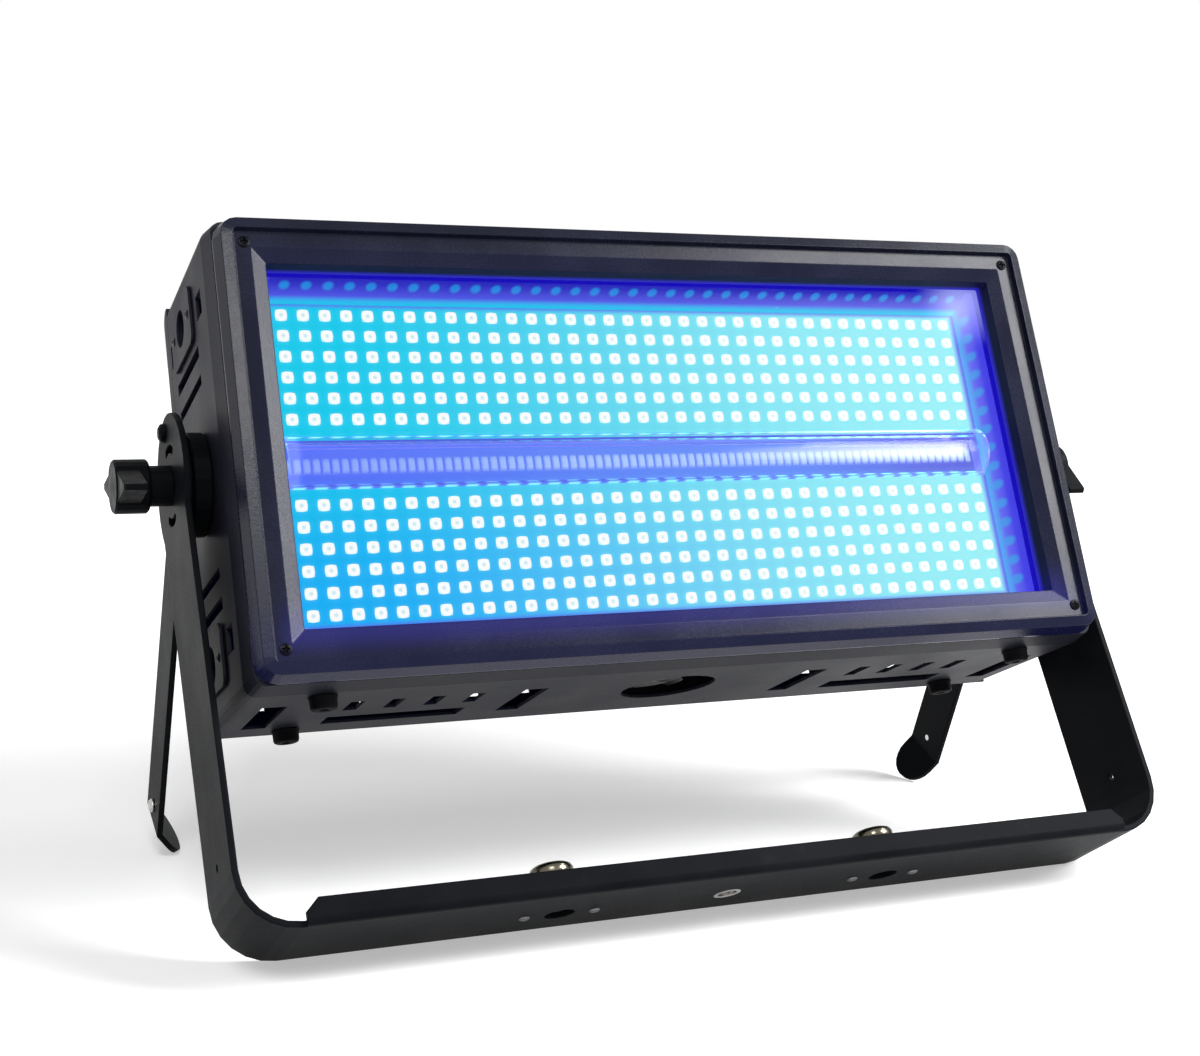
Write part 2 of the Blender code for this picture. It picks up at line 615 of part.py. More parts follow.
def build_rear_cover(paint):
    """Tray-shaped rear cover with vents and holes for its fittings."""
    w, h, t = HALF_WIDTH, HALF_HEIGHT, SHEET
    depth = COVER_REAR - REAR_RADIUS
    outline = [(COVER_FRONT, -h)]
    outline += arc(depth, -h + REAR_RADIUS, REAR_RADIUS, -math.pi / 2, 0, 6)
    outline += arc(depth, h - REAR_RADIUS, REAR_RADIUS, 0, math.pi / 2, 6)
    outline.append((COVER_FRONT, h))
    cover = link_part("rear_cover", plate_mesh([outline], -w, w, SIDEWAYS), paint, HOUSING)
    hollow = [(COVER_FRONT - 5 * MM, -h + t)]
    hollow += arc(depth, -h + REAR_RADIUS, REAR_RADIUS - t, -math.pi / 2, 0, 6)
    hollow += arc(depth, h - REAR_RADIUS, REAR_RADIUS - t, 0, math.pi / 2, 6)
    hollow.append((COVER_FRONT - 5 * MM, h - t))
    inside = plate_mesh([hollow], -w + t, w - t, SIDEWAYS)
    combine(cover, link_cutter("cover_inside", inside, HOUSING))
    front, back = COVER_INSIDE - 3 * MM, COVER_REAR + 3 * MM
    boxes = []
    for index in range(REAR_SLOT_COUNT):
        x = (index - (REAR_SLOT_COUNT - 1) / 2) * REAR_SLOT_PITCH
        x0, x1 = x - REAR_SLOT_WIDTH / 2, x + REAR_SLOT_WIDTH / 2
        boxes.append(((x0, front, REAR_SLOT_LOW), (x1, back, REAR_SLOT_HIGH)))
        boxes.append(((x0, front, -REAR_SLOT_HIGH), (x1, back, -REAR_SLOT_LOW)))
    half_w, half_h = POWER_BODY_WIDTH / 2 + FIT, POWER_BODY_HEIGHT / 2 + FIT
    for x in (POWER_INLET_X, POWER_OUTLET_X):
        boxes.append(((x - half_w, front, SOCKET_ROW - half_h), (x + half_w, back, SOCKET_ROW + half_h)))
    half_w = DISPLAY_WIDTH / 2 - DISPLAY_LEDGE
    half_h = DISPLAY_HEIGHT / 2 - DISPLAY_LEDGE
    boxes.append(((DISPLAY_X - half_w, front, DISPLAY_Z - half_h),
                  (DISPLAY_X + half_w, back, DISPLAY_Z + half_h)))
    combine(cover, link_cutter("cover_slots", box_mesh(boxes), HOUSING))
    rods = [((FUSE_X, COVER_REAR, SOCKET_ROW), UPRIGHT, FUSE_BODY_RADIUS + FIT, 10 * MM)]
    for x in (DATA_INLET_X, DATA_OUTLET_X):
        rods.append(((x, COVER_REAR, SOCKET_ROW), UPRIGHT, DATA_BODY_RADIUS + FIT, 10 * MM))
    for index in range(BUTTON_COUNT):
        rods.append(((button_x(index), COVER_REAR, BUTTON_Z), UPRIGHT, BUTTON_RADIUS + FIT, 10 * MM))
    combine(cover, link_cutter("cover_holes", rod_mesh(rods), HOUSING))


def button_x(index):
    """Position of one menu button along the rear cover."""
    return DISPLAY_X + (index - (BUTTON_COUNT - 1) / 2) * BUTTON_PITCH


def build_rear_fittings(plastic, metal, dark_glass):
    """Sockets, fuse holder, display window and menu buttons."""
    face = COVER_REAR + GAP
    back = face + FLANGE_THICKNESS
    for name, x in (("power_inlet", POWER_INLET_X), ("power_outlet", POWER_OUTLET_X)):
        half_w, half_h = POWER_BODY_WIDTH / 2, POWER_BODY_HEIGHT / 2
        flange = plate_mesh(
            [rounded(-half_w - FLANGE_BORDER, half_w + FLANGE_BORDER,
                     -half_h - FLANGE_BORDER, half_h + FLANGE_BORDER, 2 * MM)],
            -back, -face, UPRIGHT)
        socket = link_part(name, flange, plastic, HOUSING, (x, 0, SOCKET_ROW))
        body = plate_mesh([rectangle(-half_w, half_w, -half_h, half_h)],
                          -back + 0.5 * MM, -back + POWER_BODY_DEPTH, UPRIGHT)
        combine(socket, link_cutter(name + "_body", body, HOUSING, (x, 0, SOCKET_ROW)), 'UNION')
        rw, rh = POWER_RECESS_WIDTH / 2, POWER_RECESS_HEIGHT / 2
        corner = 4 * MM
        if name == "power_inlet":
            shape = [(-rw, -rh), (rw, -rh), (rw, rh - corner), (rw - corner, rh),
                     (-rw + corner, rh), (-rw, rh - corner)]
        else:
            shape = rounded(-rw, rw, -rh, rh, corner)
        recess = plate_mesh([shape], -back - 2 * MM, -back + POWER_RECESS_DEPTH, UPRIGHT)
        combine(socket, link_cutter(name + "_recess", recess, HOUSING, (x, 0, SOCKET_ROW)))
    for name, x in (("data_inlet", DATA_INLET_X), ("data_outlet", DATA_OUTLET_X)):
        half_w, half_h = DATA_BODY_RADIUS + 1.5 * MM, DATA_BODY_RADIUS + 4 * MM
        flange = plate_mesh([rounded(-half_w, half_w, -half_h, half_h, 3 * MM)], -back, -face, UPRIGHT)
        socket = link_part(name, flange, metal, HOUSING, (x, 0, SOCKET_ROW))
        body = rod_mesh([((0, back - 0.5 * MM - DATA_BODY_DEPTH / 2, 0), UPRIGHT,
                          DATA_BODY_RADIUS, DATA_BODY_DEPTH)])
        combine(socket, link_cutter(name + "_body", body, HOUSING, (x, 0, SOCKET_ROW)), 'UNION')
        depth = DATA_RECESS_DEPTH
        recess = rod_mesh([((0, back + 2 * MM - depth / 2, 0), UPRIGHT, DATA_RECESS_RADIUS, depth)])
        combine(socket, link_cutter(name + "_recess", recess, HOUSING, (x, 0, SOCKET_ROW)))
    rear_turn = Matrix.Rotation(-math.pi / 2, 4, 'X')
    profile = (
        (0, FUSE_CAP_HEIGHT), (FUSE_CAP_RADIUS - 2 * MM, FUSE_CAP_HEIGHT),
        (FUSE_CAP_RADIUS - 1 * MM, FUSE_CAP_HEIGHT - 1 * MM), (FUSE_CAP_RADIUS, 0),
        (FUSE_BODY_RADIUS, 0), (FUSE_BODY_RADIUS, -FUSE_BODY_DEPTH), (0, -FUSE_BODY_DEPTH),
    )
    turned_part("fuse_holder", profile, False, plastic, HOUSING, (FUSE_X, face, SOCKET_ROW), rear_turn, 18)
    half_w, half_h = DISPLAY_WIDTH / 2, DISPLAY_HEIGHT / 2
    window = plate_mesh([rounded(-half_w, half_w, -half_h, half_h, 3 * MM)],
                        -face - DISPLAY_THICKNESS, -face, UPRIGHT)
    link_part("display_window", window, dark_glass, HOUSING, (DISPLAY_X, 0, DISPLAY_Z))
    collar_face = COVER_INSIDE - GAP - COVER_REAR
    for index in range(BUTTON_COUNT):
        profile = (
            (0, BUTTON_PROUD), (BUTTON_RADIUS - 0.6 * MM, BUTTON_PROUD),
            (BUTTON_RADIUS, BUTTON_PROUD - 0.6 * MM), (BUTTON_RADIUS, collar_face),
            (BUTTON_RADIUS + BUTTON_COLLAR, collar_face),
            (BUTTON_RADIUS + BUTTON_COLLAR, collar_face - 1 * MM),
            (1.6 * MM, collar_face - 1 * MM), (1.6 * MM, -BUTTON_STEM), (0, -BUTTON_STEM),
        )
        turned_part("menu_button_%d" % (index + 1), profile, False, plastic, HOUSING,
                    (button_x(index), COVER_REAR, BUTTON_Z), rear_turn, 14)


def build_inside(metal, board):
    """Power supply and driver board behind the heat sink."""
    back = COVER_INSIDE - GAP
    supply = box_mesh((((SUPPLY_X[0], back - SUPPLY_DEPTH, SUPPLY_Z[0]),
                        (SUPPLY_X[1], back, SUPPLY_Z[1])),))
    link_part("power_supply", supply, metal, HOUSING)
    board_back = back - CONTROL_STANDOFF
    mesh = box_mesh((((CONTROL_X[0], board_back - CONTROL_THICKNESS, CONTROL_Z[0]),
                      (CONTROL_X[1], board_back, CONTROL_Z[1])),))
    driver = link_part("driver_board", mesh, board, HOUSING)
    rods = []
    margin = 5 * MM
    for x in (CONTROL_X[0] + margin, CONTROL_X[1] - margin):
        for z in (CONTROL_Z[0] + margin, CONTROL_Z[1] - margin):
            middle = back - (CONTROL_STANDOFF + 0.5 * MM) / 2
            rods.append(((x, middle, z), UPRIGHT, STANDOFF_RADIUS, CONTROL_STANDOFF + 0.5 * MM))
    combine(driver, link_cutter("driver_standoffs", rod_mesh(rods, 12), HOUSING), 'UNION')


def build_fan(plastic):
    """Fan frame fixed over the bottom opening, and its rotor."""
    floor = -HALF_HEIGHT + SHEET + GAP
    half = FAN_SIZE / 2
    origin = (0, FAN_DEPTH, floor)
    outline = rounded(-half, half, -half, half, 3 * MM)
    mesh = plate_mesh([outline, circle(0, 0, FAN_DUCT_RADIUS)], 0, FAN_HEIGHT)
    frame = link_part("fan_frame", mesh, plastic, HOUSING, origin)
    struts = []
    for index in range(4):
        turn = Matrix.Rotation(index * math.pi / 2 + math.pi / 4, 4, 'Z')
        struts.append(turn)
    bm = bmesh.new()
    boss_low = FAN_HEIGHT - FAN_BACK
    bmesh.ops.create_cone(bm, cap_ends=True, segments=LATHE_STEPS, radius1=FAN_BOSS_RADIUS,
                          radius2=FAN_BOSS_RADIUS, depth=FAN_BACK,
                          matrix=Matrix.Translation((0, 0, boss_low + FAN_BACK / 2)))
    boss = link_cutter("fan_boss", to_mesh(bm), HOUSING, origin)
    bm = bmesh.new()
    length = FAN_DUCT_RADIUS - FAN_BOSS_RADIUS + 2 * MM
    middle = (FAN_DUCT_RADIUS + FAN_BOSS_RADIUS) / 2
    for turn in struts:
        size = Matrix.Diagonal((length, 2.4 * MM, FAN_BACK - 0.6 * MM, 1))
        spot = Matrix.Translation((middle, 0, boss_low + FAN_BACK / 2))
        bmesh.ops.create_cube(bm, size=1.0, matrix=turn @ spot @ size)
    arms = link_cutter("fan_struts", to_mesh(bm), HOUSING, origin)
    combine(frame, arms, 'UNION')
    combine(frame, boss, 'UNION')
    bore = rod_mesh([((0, 0, FAN_HEIGHT), Matrix(), FAN_SHAFT_RADIUS + FIT, 12 * MM)], 16)
    combine(frame, link_cutter("fan_bore", bore, HOUSING, origin))

    low = 0.8 * MM
    high = boss_low - GAP
    profile = (
        (0, high + 2.2 * MM), (FAN_SHAFT_RADIUS, high + 2.2 * MM), (FAN_SHAFT_RADIUS, high),
        (ROTOR_HUB_RADIUS, high), (ROTOR_HUB_RADIUS, low + 0.6 * MM),
        (ROTOR_HUB_RADIUS - 0.6 * MM, low), (0, low),
    )
    rotor = turned_part("fan_rotor", profile, False, plastic, HOUSING, origin, None, 24)
    bm = bmesh.new()
    length = BLADE_TIP_RADIUS - ROTOR_HUB_RADIUS + 1.5 * MM
    middle = (BLADE_TIP_RADIUS + ROTOR_HUB_RADIUS - 1.5 * MM) / 2
    height = (low + high) / 2
    for index in range(BLADE_COUNT):
        turn = Matrix.Rotation(index * 2 * math.pi / BLADE_COUNT, 4, 'Z')
        spot = Matrix.Translation((middle, 0, height)) @ Matrix.Rotation(BLADE_PITCH, 4, 'X')
        size = Matrix.Diagonal((length, BLADE_CHORD, BLADE_THICKNESS, 1))
        bmesh.ops.create_cube(bm, size=1.0, matrix=turn @ spot @ size)
    combine(rotor, link_cutter("fan_blades", to_mesh(bm), HOUSING, origin), 'UNION')


def build_side_fittings(paint, rubber, plastic, steel):
    """Side plates, rubber feet, pivot discs and pivot studs."""
    y0, y1 = SIDE_PLATE_DEPTH
    z0, z1 = SIDE_PLATE_HEIGHT
    near = HALF_WIDTH + GAP
    far = near + SIDE_PLATE_THICKNESS
    for side, side_name in SIDES:
        for sign, level in ((1, "upper"), (-1, "lower")):
            low, high = sorted((sign * z0, sign * z1))
            outline = rounded(y0, y1, low, high, SIDE_PLATE_RADIUS)
            hole = circle(SIDE_HOLE_DEPTH, sign * SIDE_HOLE_HEIGHT, SIDE_HOLE_RADIUS, 28)
            ends = sorted((side * near, side * far))
            mesh = plate_mesh([outline, hole], ends[0], ends[1], SIDEWAYS)
            link_part("side_plate_%s_%s" % (level, side_name), mesh, paint, HOUSING)
        top = -HALF_HEIGHT - GAP
        profile = (
            (0, top), (FOOT_RADIUS, top), (FOOT_RADIUS, top - FOOT_HEIGHT + 1 * MM),
            (FOOT_RADIUS - 1 * MM, top - FOOT_HEIGHT), (0, top - FOOT_HEIGHT),
        )
        for depth, place in zip(FOOT_DEPTHS, ("front", "rear")):
            turned_part("rubber_foot_%s_%s" % (place, side_name), profile, False, rubber,
                        HOUSING, (side * FOOT_X, depth, 0), None, 18)
        t = DISC_THICKNESS
        profile = (
            (DISC_RADIUS - 0.8 * MM, t), (DISC_RADIUS, t - 0.8 * MM), (DISC_RADIUS, 0.8 * MM),
            (DISC_RADIUS - 0.8 * MM, 0), (BORE_RADIUS, 0), (BORE_RADIUS, t),
        )
        turned_part("pivot_disc_" + side_name, profile, True, plastic, HOUSING,
                    (side * DISC_FACE, PIVOT_DEPTH, 0), outward(side), 32)
        start = HALF_WIDTH - SHEET - GAP - STUD_HEAD_HEIGHT
        end = KNOB_FACE + STUD_DEPTH_IN_KNOB - start
        profile = (
            (0, end), (STUD_RADIUS - 0.5 * MM, end), (STUD_RADIUS, end - 0.5 * MM),
            (STUD_RADIUS, STUD_HEAD_HEIGHT), (STUD_HEAD_RADIUS, STUD_HEAD_HEIGHT),
            (STUD_HEAD_RADIUS, 0), (0, 0),
        )
        turned_part("pivot_stud_" + side_name, profile, False, steel, HOUSING,
                    (side * start, PIVOT_DEPTH, 0), outward(side))


def wing_outline(length, width, tip):
    """Slender diamond with both long ends cut square at a half width."""
    reach = length * (1 - tip / width)
    return [(reach, -tip), (reach, tip), (0, width), (-reach, tip), (-reach, -tip), (0, -width)]


def build_knobs(plastic):
    """Wing knobs that run on the pivot studs."""
    bore_end = STUD_DEPTH_IN_KNOB + GAP
    edge = WING_CHAMFER
    profile = (
        (0, KNOB_LENGTH), (KNOB_HUB_RADIUS - edge, KNOB_LENGTH), (KNOB_HUB_RADIUS, KNOB_LENGTH - edge),
        (KNOB_HUB_RADIUS, KNOB_NECK_LENGTH + edge), (KNOB_HUB_RADIUS - edge, KNOB_NECK_LENGTH),
        (KNOB_NECK_RADIUS, KNOB_NECK_LENGTH), (KNOB_NECK_RADIUS, 0),
        (BORE_RADIUS, 0), (BORE_RADIUS, bore_end), (0, bore_end),
    )
    face = KNOB_LENGTH - 0.6 * MM
    levels = ((WING_START, edge), (WING_START + edge, 0), (face - edge, 0), (face, edge))
    for side, side_name in SIDES:
        origin = (side * KNOB_FACE, PIVOT_DEPTH, 0)
        knob = turned_part("knob_" + side_name, profile, False, plastic, HOUSING, origin, outward(side))
        lean = Matrix.Rotation(KNOB_TURNS[side_name], 4, 'X')
        bm = bmesh.new()
        loops = []
        for height, inset in levels:
            points = wing_outline(WING_LENGTH - 2 * inset, WING_WIDTH - inset, WING_TIP)
            loops.append([bm.verts.new((side * height, along, across)) for along, across in points])
        for lower, upper in zip(loops, loops[1:]):
            for i in range(len(lower)):
                j = (i + 1) % len(lower)
                bm.faces.new((lower[i], lower[j], upper[j], upper[i]))
        bm.faces.new(loops[0])
        bm.faces.new(loops[-1])
        wing = link_cutter("knob_wing_" + side_name, to_mesh(bm), HOUSING, origin, lean)
        combine(knob, wing, 'UNION')


def build_yoke(paint):
    """Flat-bar yoke with round ears and a stiffening lip."""
    front, rear, drop = YOKE_FRONT, YOKE_REAR, YOKE_DROP
    start = math.atan2(-math.sqrt(EAR_RADIUS ** 2 - rear ** 2), rear)
    end = math.pi + math.atan2(math.sqrt(EAR_RADIUS ** 2 - front ** 2), -front)
    ear = arc(0, 0, EAR_RADIUS, start, end, EAR_STEPS)
    bend_top = -drop + YOKE_BEND
    faces = []
    for side, _ in SIDES:
        x = side * EAR_FACE
        outline = [(x, rear, bend_top)] + [(x, y, z) for y, z in ear] + [(x, front, bend_top)]
        faces.append(outline if side > 0 else outline[::-1])
        path = arc(EAR_FACE - YOKE_BEND, bend_top, YOKE_BEND, 0, -math.pi / 2, BEND_STEPS)
        for (xa, za), (xb, zb) in zip(path, path[1:]):
            quad = [(side * xa, front, za), (side * xb, front, zb), (side * xb, rear, zb), (side * xa, rear, za)]
            faces.append(quad if side > 0 else quad[::-1])
    flat = EAR_FACE - YOKE_BEND
    lip = LIP_HALF_LENGTH
    faces.append([(-flat, front, -drop), (-flat, rear, -drop), (flat, rear, -drop), (flat, front, -drop),
                  (lip, front, -drop), (-lip, front, -drop)])
    bend = front - LIP_FACE
    path = arc(front, -drop + bend, bend, -math.pi / 2, -math.pi, 3)
    for (ya, za), (yb, zb) in zip(path, path[1:]):
        faces.append([(-lip, ya, za), (lip, ya, za), (lip, yb, zb), (-lip, yb, zb)])
    low, high = -drop + bend, -drop + LIP_HEIGHT
    cut = LIP_CORNER
    faces.append([(-lip, LIP_FACE, low), (lip, LIP_FACE, low), (lip, LIP_FACE, high - cut),
                  (lip - cut, LIP_FACE, high), (-lip + cut, LIP_FACE, high), (-lip, LIP_FACE, high - cut)])
    yoke = sheet_part("yoke", faces, YOKE_SHEET, paint, YOKE)
    long = 2 * EAR_FACE + 20 * MM
    rods = [
        ((0, 0, 0), outward(1), BORE_RADIUS, long),
        ((0, 0, EAR_SCREW_HEIGHT), outward(1), EAR_SCREW_SHANK + FIT, long),
        ((0, ARM_HOLE_OFFSET, -ARM_HOLE_DROP), outward(1), ARM_HOLE_RADIUS, long),
        ((0, SOCKET_OFFSET, -drop), Matrix(), INSERT_RADIUS + FIT, 10 * MM),
    ]
    for sign in (1, -1):
        rods.append(((sign * SOCKET_SPACING, SOCKET_OFFSET, -drop), Matrix(), SOCKET_HOLE_RADIUS, 10 * MM))
    combine(yoke, link_cutter("yoke_holes", rod_mesh(rods, 20), YOKE))
    middle = (ARC_SLOT_INNER + ARC_SLOT_OUTER) / 2
    half = (ARC_SLOT_OUTER - ARC_SLOT_INNER) / 2
    for index, centre in enumerate(ARC_SLOT_CENTRES):
        first, last = centre - ARC_SLOT_HALF_ANGLE, centre + ARC_SLOT_HALF_ANGLE
        outline = arc(0, 0, ARC_SLOT_OUTER, first, last, 8)
        outline += arc(middle * math.cos(last), middle * math.sin(last), half, last, last + math.pi, 4)[1:-1]
        outline += arc(0, 0, ARC_SLOT_INNER, last, first, 8)
        outline += arc(middle * math.cos(first), middle * math.sin(first), half,
                       first + math.pi, first + 2 * math.pi, 4)[1:-1]
        slot = plate_mesh([outline], -long / 2, long / 2, SIDEWAYS)
        combine(yoke, link_cutter("ear_slot_%d" % (index + 1), slot, YOKE))


def build_yoke_fittings(steel, black):
    """Clamp sockets, centre insert and ear screws."""
    top = -YOKE_DROP + YOKE_SHEET + GAP
    for side, side_name in SIDES:
        origin = (side * SOCKET_SPACING, SOCKET_OFFSET, top)
        half, radius = SOCKET_PLATE_HALF, SOCKET_RADIUS
        outline = rounded(-half, half, -radius, radius, radius - 0.5 * MM, 6)
        plate = plate_mesh([outline], 0, SOCKET_PLATE_THICKNESS)
        socket = link_part("clamp_socket_" + side_name, plate, steel, YOKE, origin)
        dome = rod_mesh([((0, 0, (SOCKET_HEIGHT - 2 * MM) / 2 + 0.25 * MM), Matrix(), radius - 0.6 * MM,
                          SOCKET_HEIGHT - 2.5 * MM)])
        combine(socket, link_cutter("socket_wall_" + side_name, dome, YOKE, origin), 'UNION')
        bm = bmesh.new()
        bmesh.ops.create_cone(bm, cap_ends=True, segments=LATHE_STEPS, radius1=radius - 0.6 * MM,
                              radius2=4.5 * MM, depth=2.6 * MM,
                              matrix=Matrix.Translation((0, 0, SOCKET_HEIGHT - 1.3 * MM)))
        crown = link_cutter("socket_crown_" + side_name, to_mesh(bm), YOKE, origin)
        combine(socket, crown, 'UNION')
        depth = SOCKET_HEIGHT - SOCKET_WALL - 1.5 * MM
        bore = rod_mesh([((0, 0, depth / 2 - 1 * MM), Matrix(), SOCKET_HOLE_RADIUS, depth + 2 * MM)])
        combine(socket, link_cutter("socket_bore_" + side_name, bore, YOKE, origin))

        start = EAR_FACE - YOKE_SHEET
        end = EAR_FACE + GAP - start
        profile = (
            (0, end + EAR_SCREW_HEAD_HEIGHT), (EAR_SCREW_HEAD * 0.55, end + EAR_SCREW_HEAD_HEIGHT * 0.92),
            (EAR_SCREW_HEAD * 0.88, end + EAR_SCREW_HEAD_HEIGHT * 0.6), (EAR_SCREW_HEAD, end),
            (EAR_SCREW_SHANK, end), (EAR_SCREW_SHANK, 0), (0, 0),
        )
        turned_part("ear_screw_" + side_name, profile, False, black, YOKE,
                    (side * start, 0, EAR_SCREW_HEIGHT), outward(side), 14)
    low = -YOKE_SHEET - GAP
    profile = (
        (INSERT_FLANGE, INSERT_FLANGE_HEIGHT), (INSERT_FLANGE, 0), (INSERT_RADIUS, 0),
        (INSERT_RADIUS, low), (INSERT_BORE, low), (INSERT_BORE, INSERT_FLANGE_HEIGHT),
    )
    turned_part("centre_insert", profile, True, steel, YOKE, (0, SOCKET_OFFSET, top), None, 24)


def leg_bend_drop():
    """Distance from the pivot to the leg's bend that sets the foot tip on the floor."""
    flat = LEG_FOOT_LENGTH - LEG_HALF_WIDTH
    along = math.cos(LEG_FOOT_ANGLE) * math.cos(LEG_LEAN)
    reach = math.hypot(math.sin(LEG_LEAN), along)
    return (PIVOT_HEIGHT - flat * along - LEG_HALF_WIDTH * reach) / math.cos(LEG_LEAN)


def build_legs(paint, steel):
    """Rear legs with inward feet, and the stud of each."""
    width, drop = LEG_HALF_WIDTH, leg_bend_drop()
    start = math.atan2(-math.sqrt(LEG_TOP_RADIUS ** 2 - width ** 2), width)
    top = arc(0, 0, LEG_TOP_RADIUS, start, math.pi - start, ROUND_STEPS)
    flat = LEG_FOOT_LENGTH - width
    tip = arc(0, flat, width, 0, math.pi, ROUND_STEPS)
    sin_foot, cos_foot = math.sin(LEG_FOOT_ANGLE), math.cos(LEG_FOOT_ANGLE)
    for side, side_name in SIDES:
        x = side * LEG_FACE
        shank = [(x, width, -drop)] + [(x, y, z) for y, z in top] + [(x, -width, -drop)]
        foot = [(x, width, -drop), (x, -width, -drop)]
        for y, reach in reversed(tip):
            foot.append((x - side * reach * sin_foot, y, -drop - reach * cos_foot))
        faces = [shank, foot] if side > 0 else [shank[::-1], foot[::-1]]
        leg = sheet_part("leg_" + side_name, faces, LEG_SHEET, paint, LEGS)
        rods = [
            ((0, 0, 0), outward(1), BORE_RADIUS, 2 * LEG_FACE + 20 * MM),
            ((0, 0, -LEG_STUD_DROP), outward(1), LEG_STUD_RADIUS + FIT, 2 * LEG_FACE + 20 * MM),
        ]
        combine(leg, link_cutter("leg_holes_" + side_name, rod_mesh(rods, 24), LEGS))
        start_x = LEG_FACE - LEG_SHEET
        end = LEG_SHEET + GAP
        profile = (
            (0, end + LEG_STUD_HEIGHT), (LEG_STUD_HEAD - 0.8 * MM, end + LEG_STUD_HEIGHT),
            (LEG_STUD_HEAD, end + 0.5 * MM), (LEG_STUD_HEAD, end), (LEG_STUD_RADIUS, end),
            (LEG_STUD_RADIUS, 0), (0, 0),
        )
        turned_part("leg_stud_" + side_name, profile, False, steel, LEGS,
                    (side * start_x, 0, -LEG_STUD_DROP), outward(side), 14)


def set_on_origin():
    """Centre the whole light over the origin, lowest point at zero height."""
    bpy.context.view_layer.update()
    graph = bpy.context.evaluated_depsgraph_get()
    points = []
    for obj in PARTS.objects:
        shape = obj.evaluated_get(graph)
        mesh = shape.to_mesh()
        points += [shape.matrix_world @ vert.co for vert in mesh.vertices]
        shape.to_mesh_clear()
    shift = Matrix.Translation([
        -(min(p.x for p in points) + max(p.x for p in points)) / 2,
        -(min(p.y for p in points) + max(p.y for p in points)) / 2,
        -min(p.z for p in points),
    ])
    for obj in list(PARTS.objects) + list(CUTTERS.objects):
        obj.matrix_basis = shift @ obj.matrix_basis
    bpy.context.view_layer.update()


def main():
    """Build the whole light."""
    black = material("black_paint", (0.018, 0.018, 0.02), 0.0, 0.45)
    shell = material("shell_paint", (0.03, 0.03, 0.034), 0.0, 0.5)
    yoke = material("yoke_paint", (0.035, 0.035, 0.04), 0.0, 0.4)
    glass = material("front_glass", (0.9, 0.95, 0.97), 0.0, 0.02, 1.0)
    clear = material("clear_lens", (0.92, 0.95, 0.97), 0.0, 0.05, 1.0)
    smoked = material("smoked_window", (0.02, 0.03, 0.05), 0.0, 0.08)
    mirror = material("mirror", (0.85, 0.87, 0.92), 1.0, 0.08)
    aluminium = material("aluminium", (0.6, 0.61, 0.63), 1.0, 0.35)
    steel = material("plated_steel", (0.62, 0.62, 0.6), 1.0, 0.3)
    board = material("board", (0.75, 0.78, 0.8), 0.0, 0.4)
    rubber = material("rubber", (0.02, 0.02, 0.02), 0.0, 0.8)
    plastic = material("black_plastic", (0.015, 0.015, 0.016), 0.0, 0.35)
    build_front(black, glass, rubber, mirror)
    build_light_engine(board, clear, aluminium)
    build_shell(shell)
    build_rear_cover(shell)
    build_rear_fittings(plastic, steel, smoked)
    build_inside(aluminium, board)
    build_fan(plastic)
    build_side_fittings(shell, rubber, plastic, steel)
    build_knobs(plastic)
    build_yoke(yoke)
    build_yoke_fittings(steel, plastic)
    build_legs(yoke, steel)
    set_on_origin()


main()
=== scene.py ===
"""Stage strobe wash light: finishes and small pieces built round the solids of the light."""
import json
import math

import bpy
import numpy as np
from bpy.props import FloatProperty, FloatVectorProperty, PointerProperty
from mathutils import Matrix, Vector


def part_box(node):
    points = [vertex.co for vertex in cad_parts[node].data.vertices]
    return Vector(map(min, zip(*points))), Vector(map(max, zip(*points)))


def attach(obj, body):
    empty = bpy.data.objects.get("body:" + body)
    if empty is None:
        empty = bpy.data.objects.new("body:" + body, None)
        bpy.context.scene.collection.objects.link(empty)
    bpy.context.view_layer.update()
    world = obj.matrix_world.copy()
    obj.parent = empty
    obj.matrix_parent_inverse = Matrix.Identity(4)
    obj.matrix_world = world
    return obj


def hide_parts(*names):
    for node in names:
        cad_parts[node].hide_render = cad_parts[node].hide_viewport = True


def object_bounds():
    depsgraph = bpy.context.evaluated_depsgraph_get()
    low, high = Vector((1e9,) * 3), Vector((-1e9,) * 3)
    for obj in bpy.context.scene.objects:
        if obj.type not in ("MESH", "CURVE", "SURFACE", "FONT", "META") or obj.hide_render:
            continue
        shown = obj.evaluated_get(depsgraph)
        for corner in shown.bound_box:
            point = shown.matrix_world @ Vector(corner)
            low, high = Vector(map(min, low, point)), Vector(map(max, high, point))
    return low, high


bl_info = {
    "name": "Stage strobe wash light",
    "version": (1, 0, 0),
    "blender": (4, 5, 0),
    "location": "3D View > Sidebar > Strobe light",
    "description": "Finishes, light cells, fasteners, sockets and stage of a strobe wash light",
    "category": "Object",
}

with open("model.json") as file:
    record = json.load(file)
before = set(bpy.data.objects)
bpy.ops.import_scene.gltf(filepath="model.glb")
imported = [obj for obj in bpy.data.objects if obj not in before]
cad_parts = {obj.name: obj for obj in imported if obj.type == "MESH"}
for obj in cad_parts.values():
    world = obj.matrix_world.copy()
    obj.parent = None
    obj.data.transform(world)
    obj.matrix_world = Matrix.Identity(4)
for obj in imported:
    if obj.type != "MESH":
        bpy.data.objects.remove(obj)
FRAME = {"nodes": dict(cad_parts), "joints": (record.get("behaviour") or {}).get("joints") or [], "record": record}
NODES = FRAME["nodes"]
CAD_BOX = [list(corner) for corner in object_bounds()]
MM = 0.001


def joint_value(name, key):
    """One value of a named joint of the frame."""
    return next(joint[key] for joint in FRAME["joints"] if joint["name"] == name)


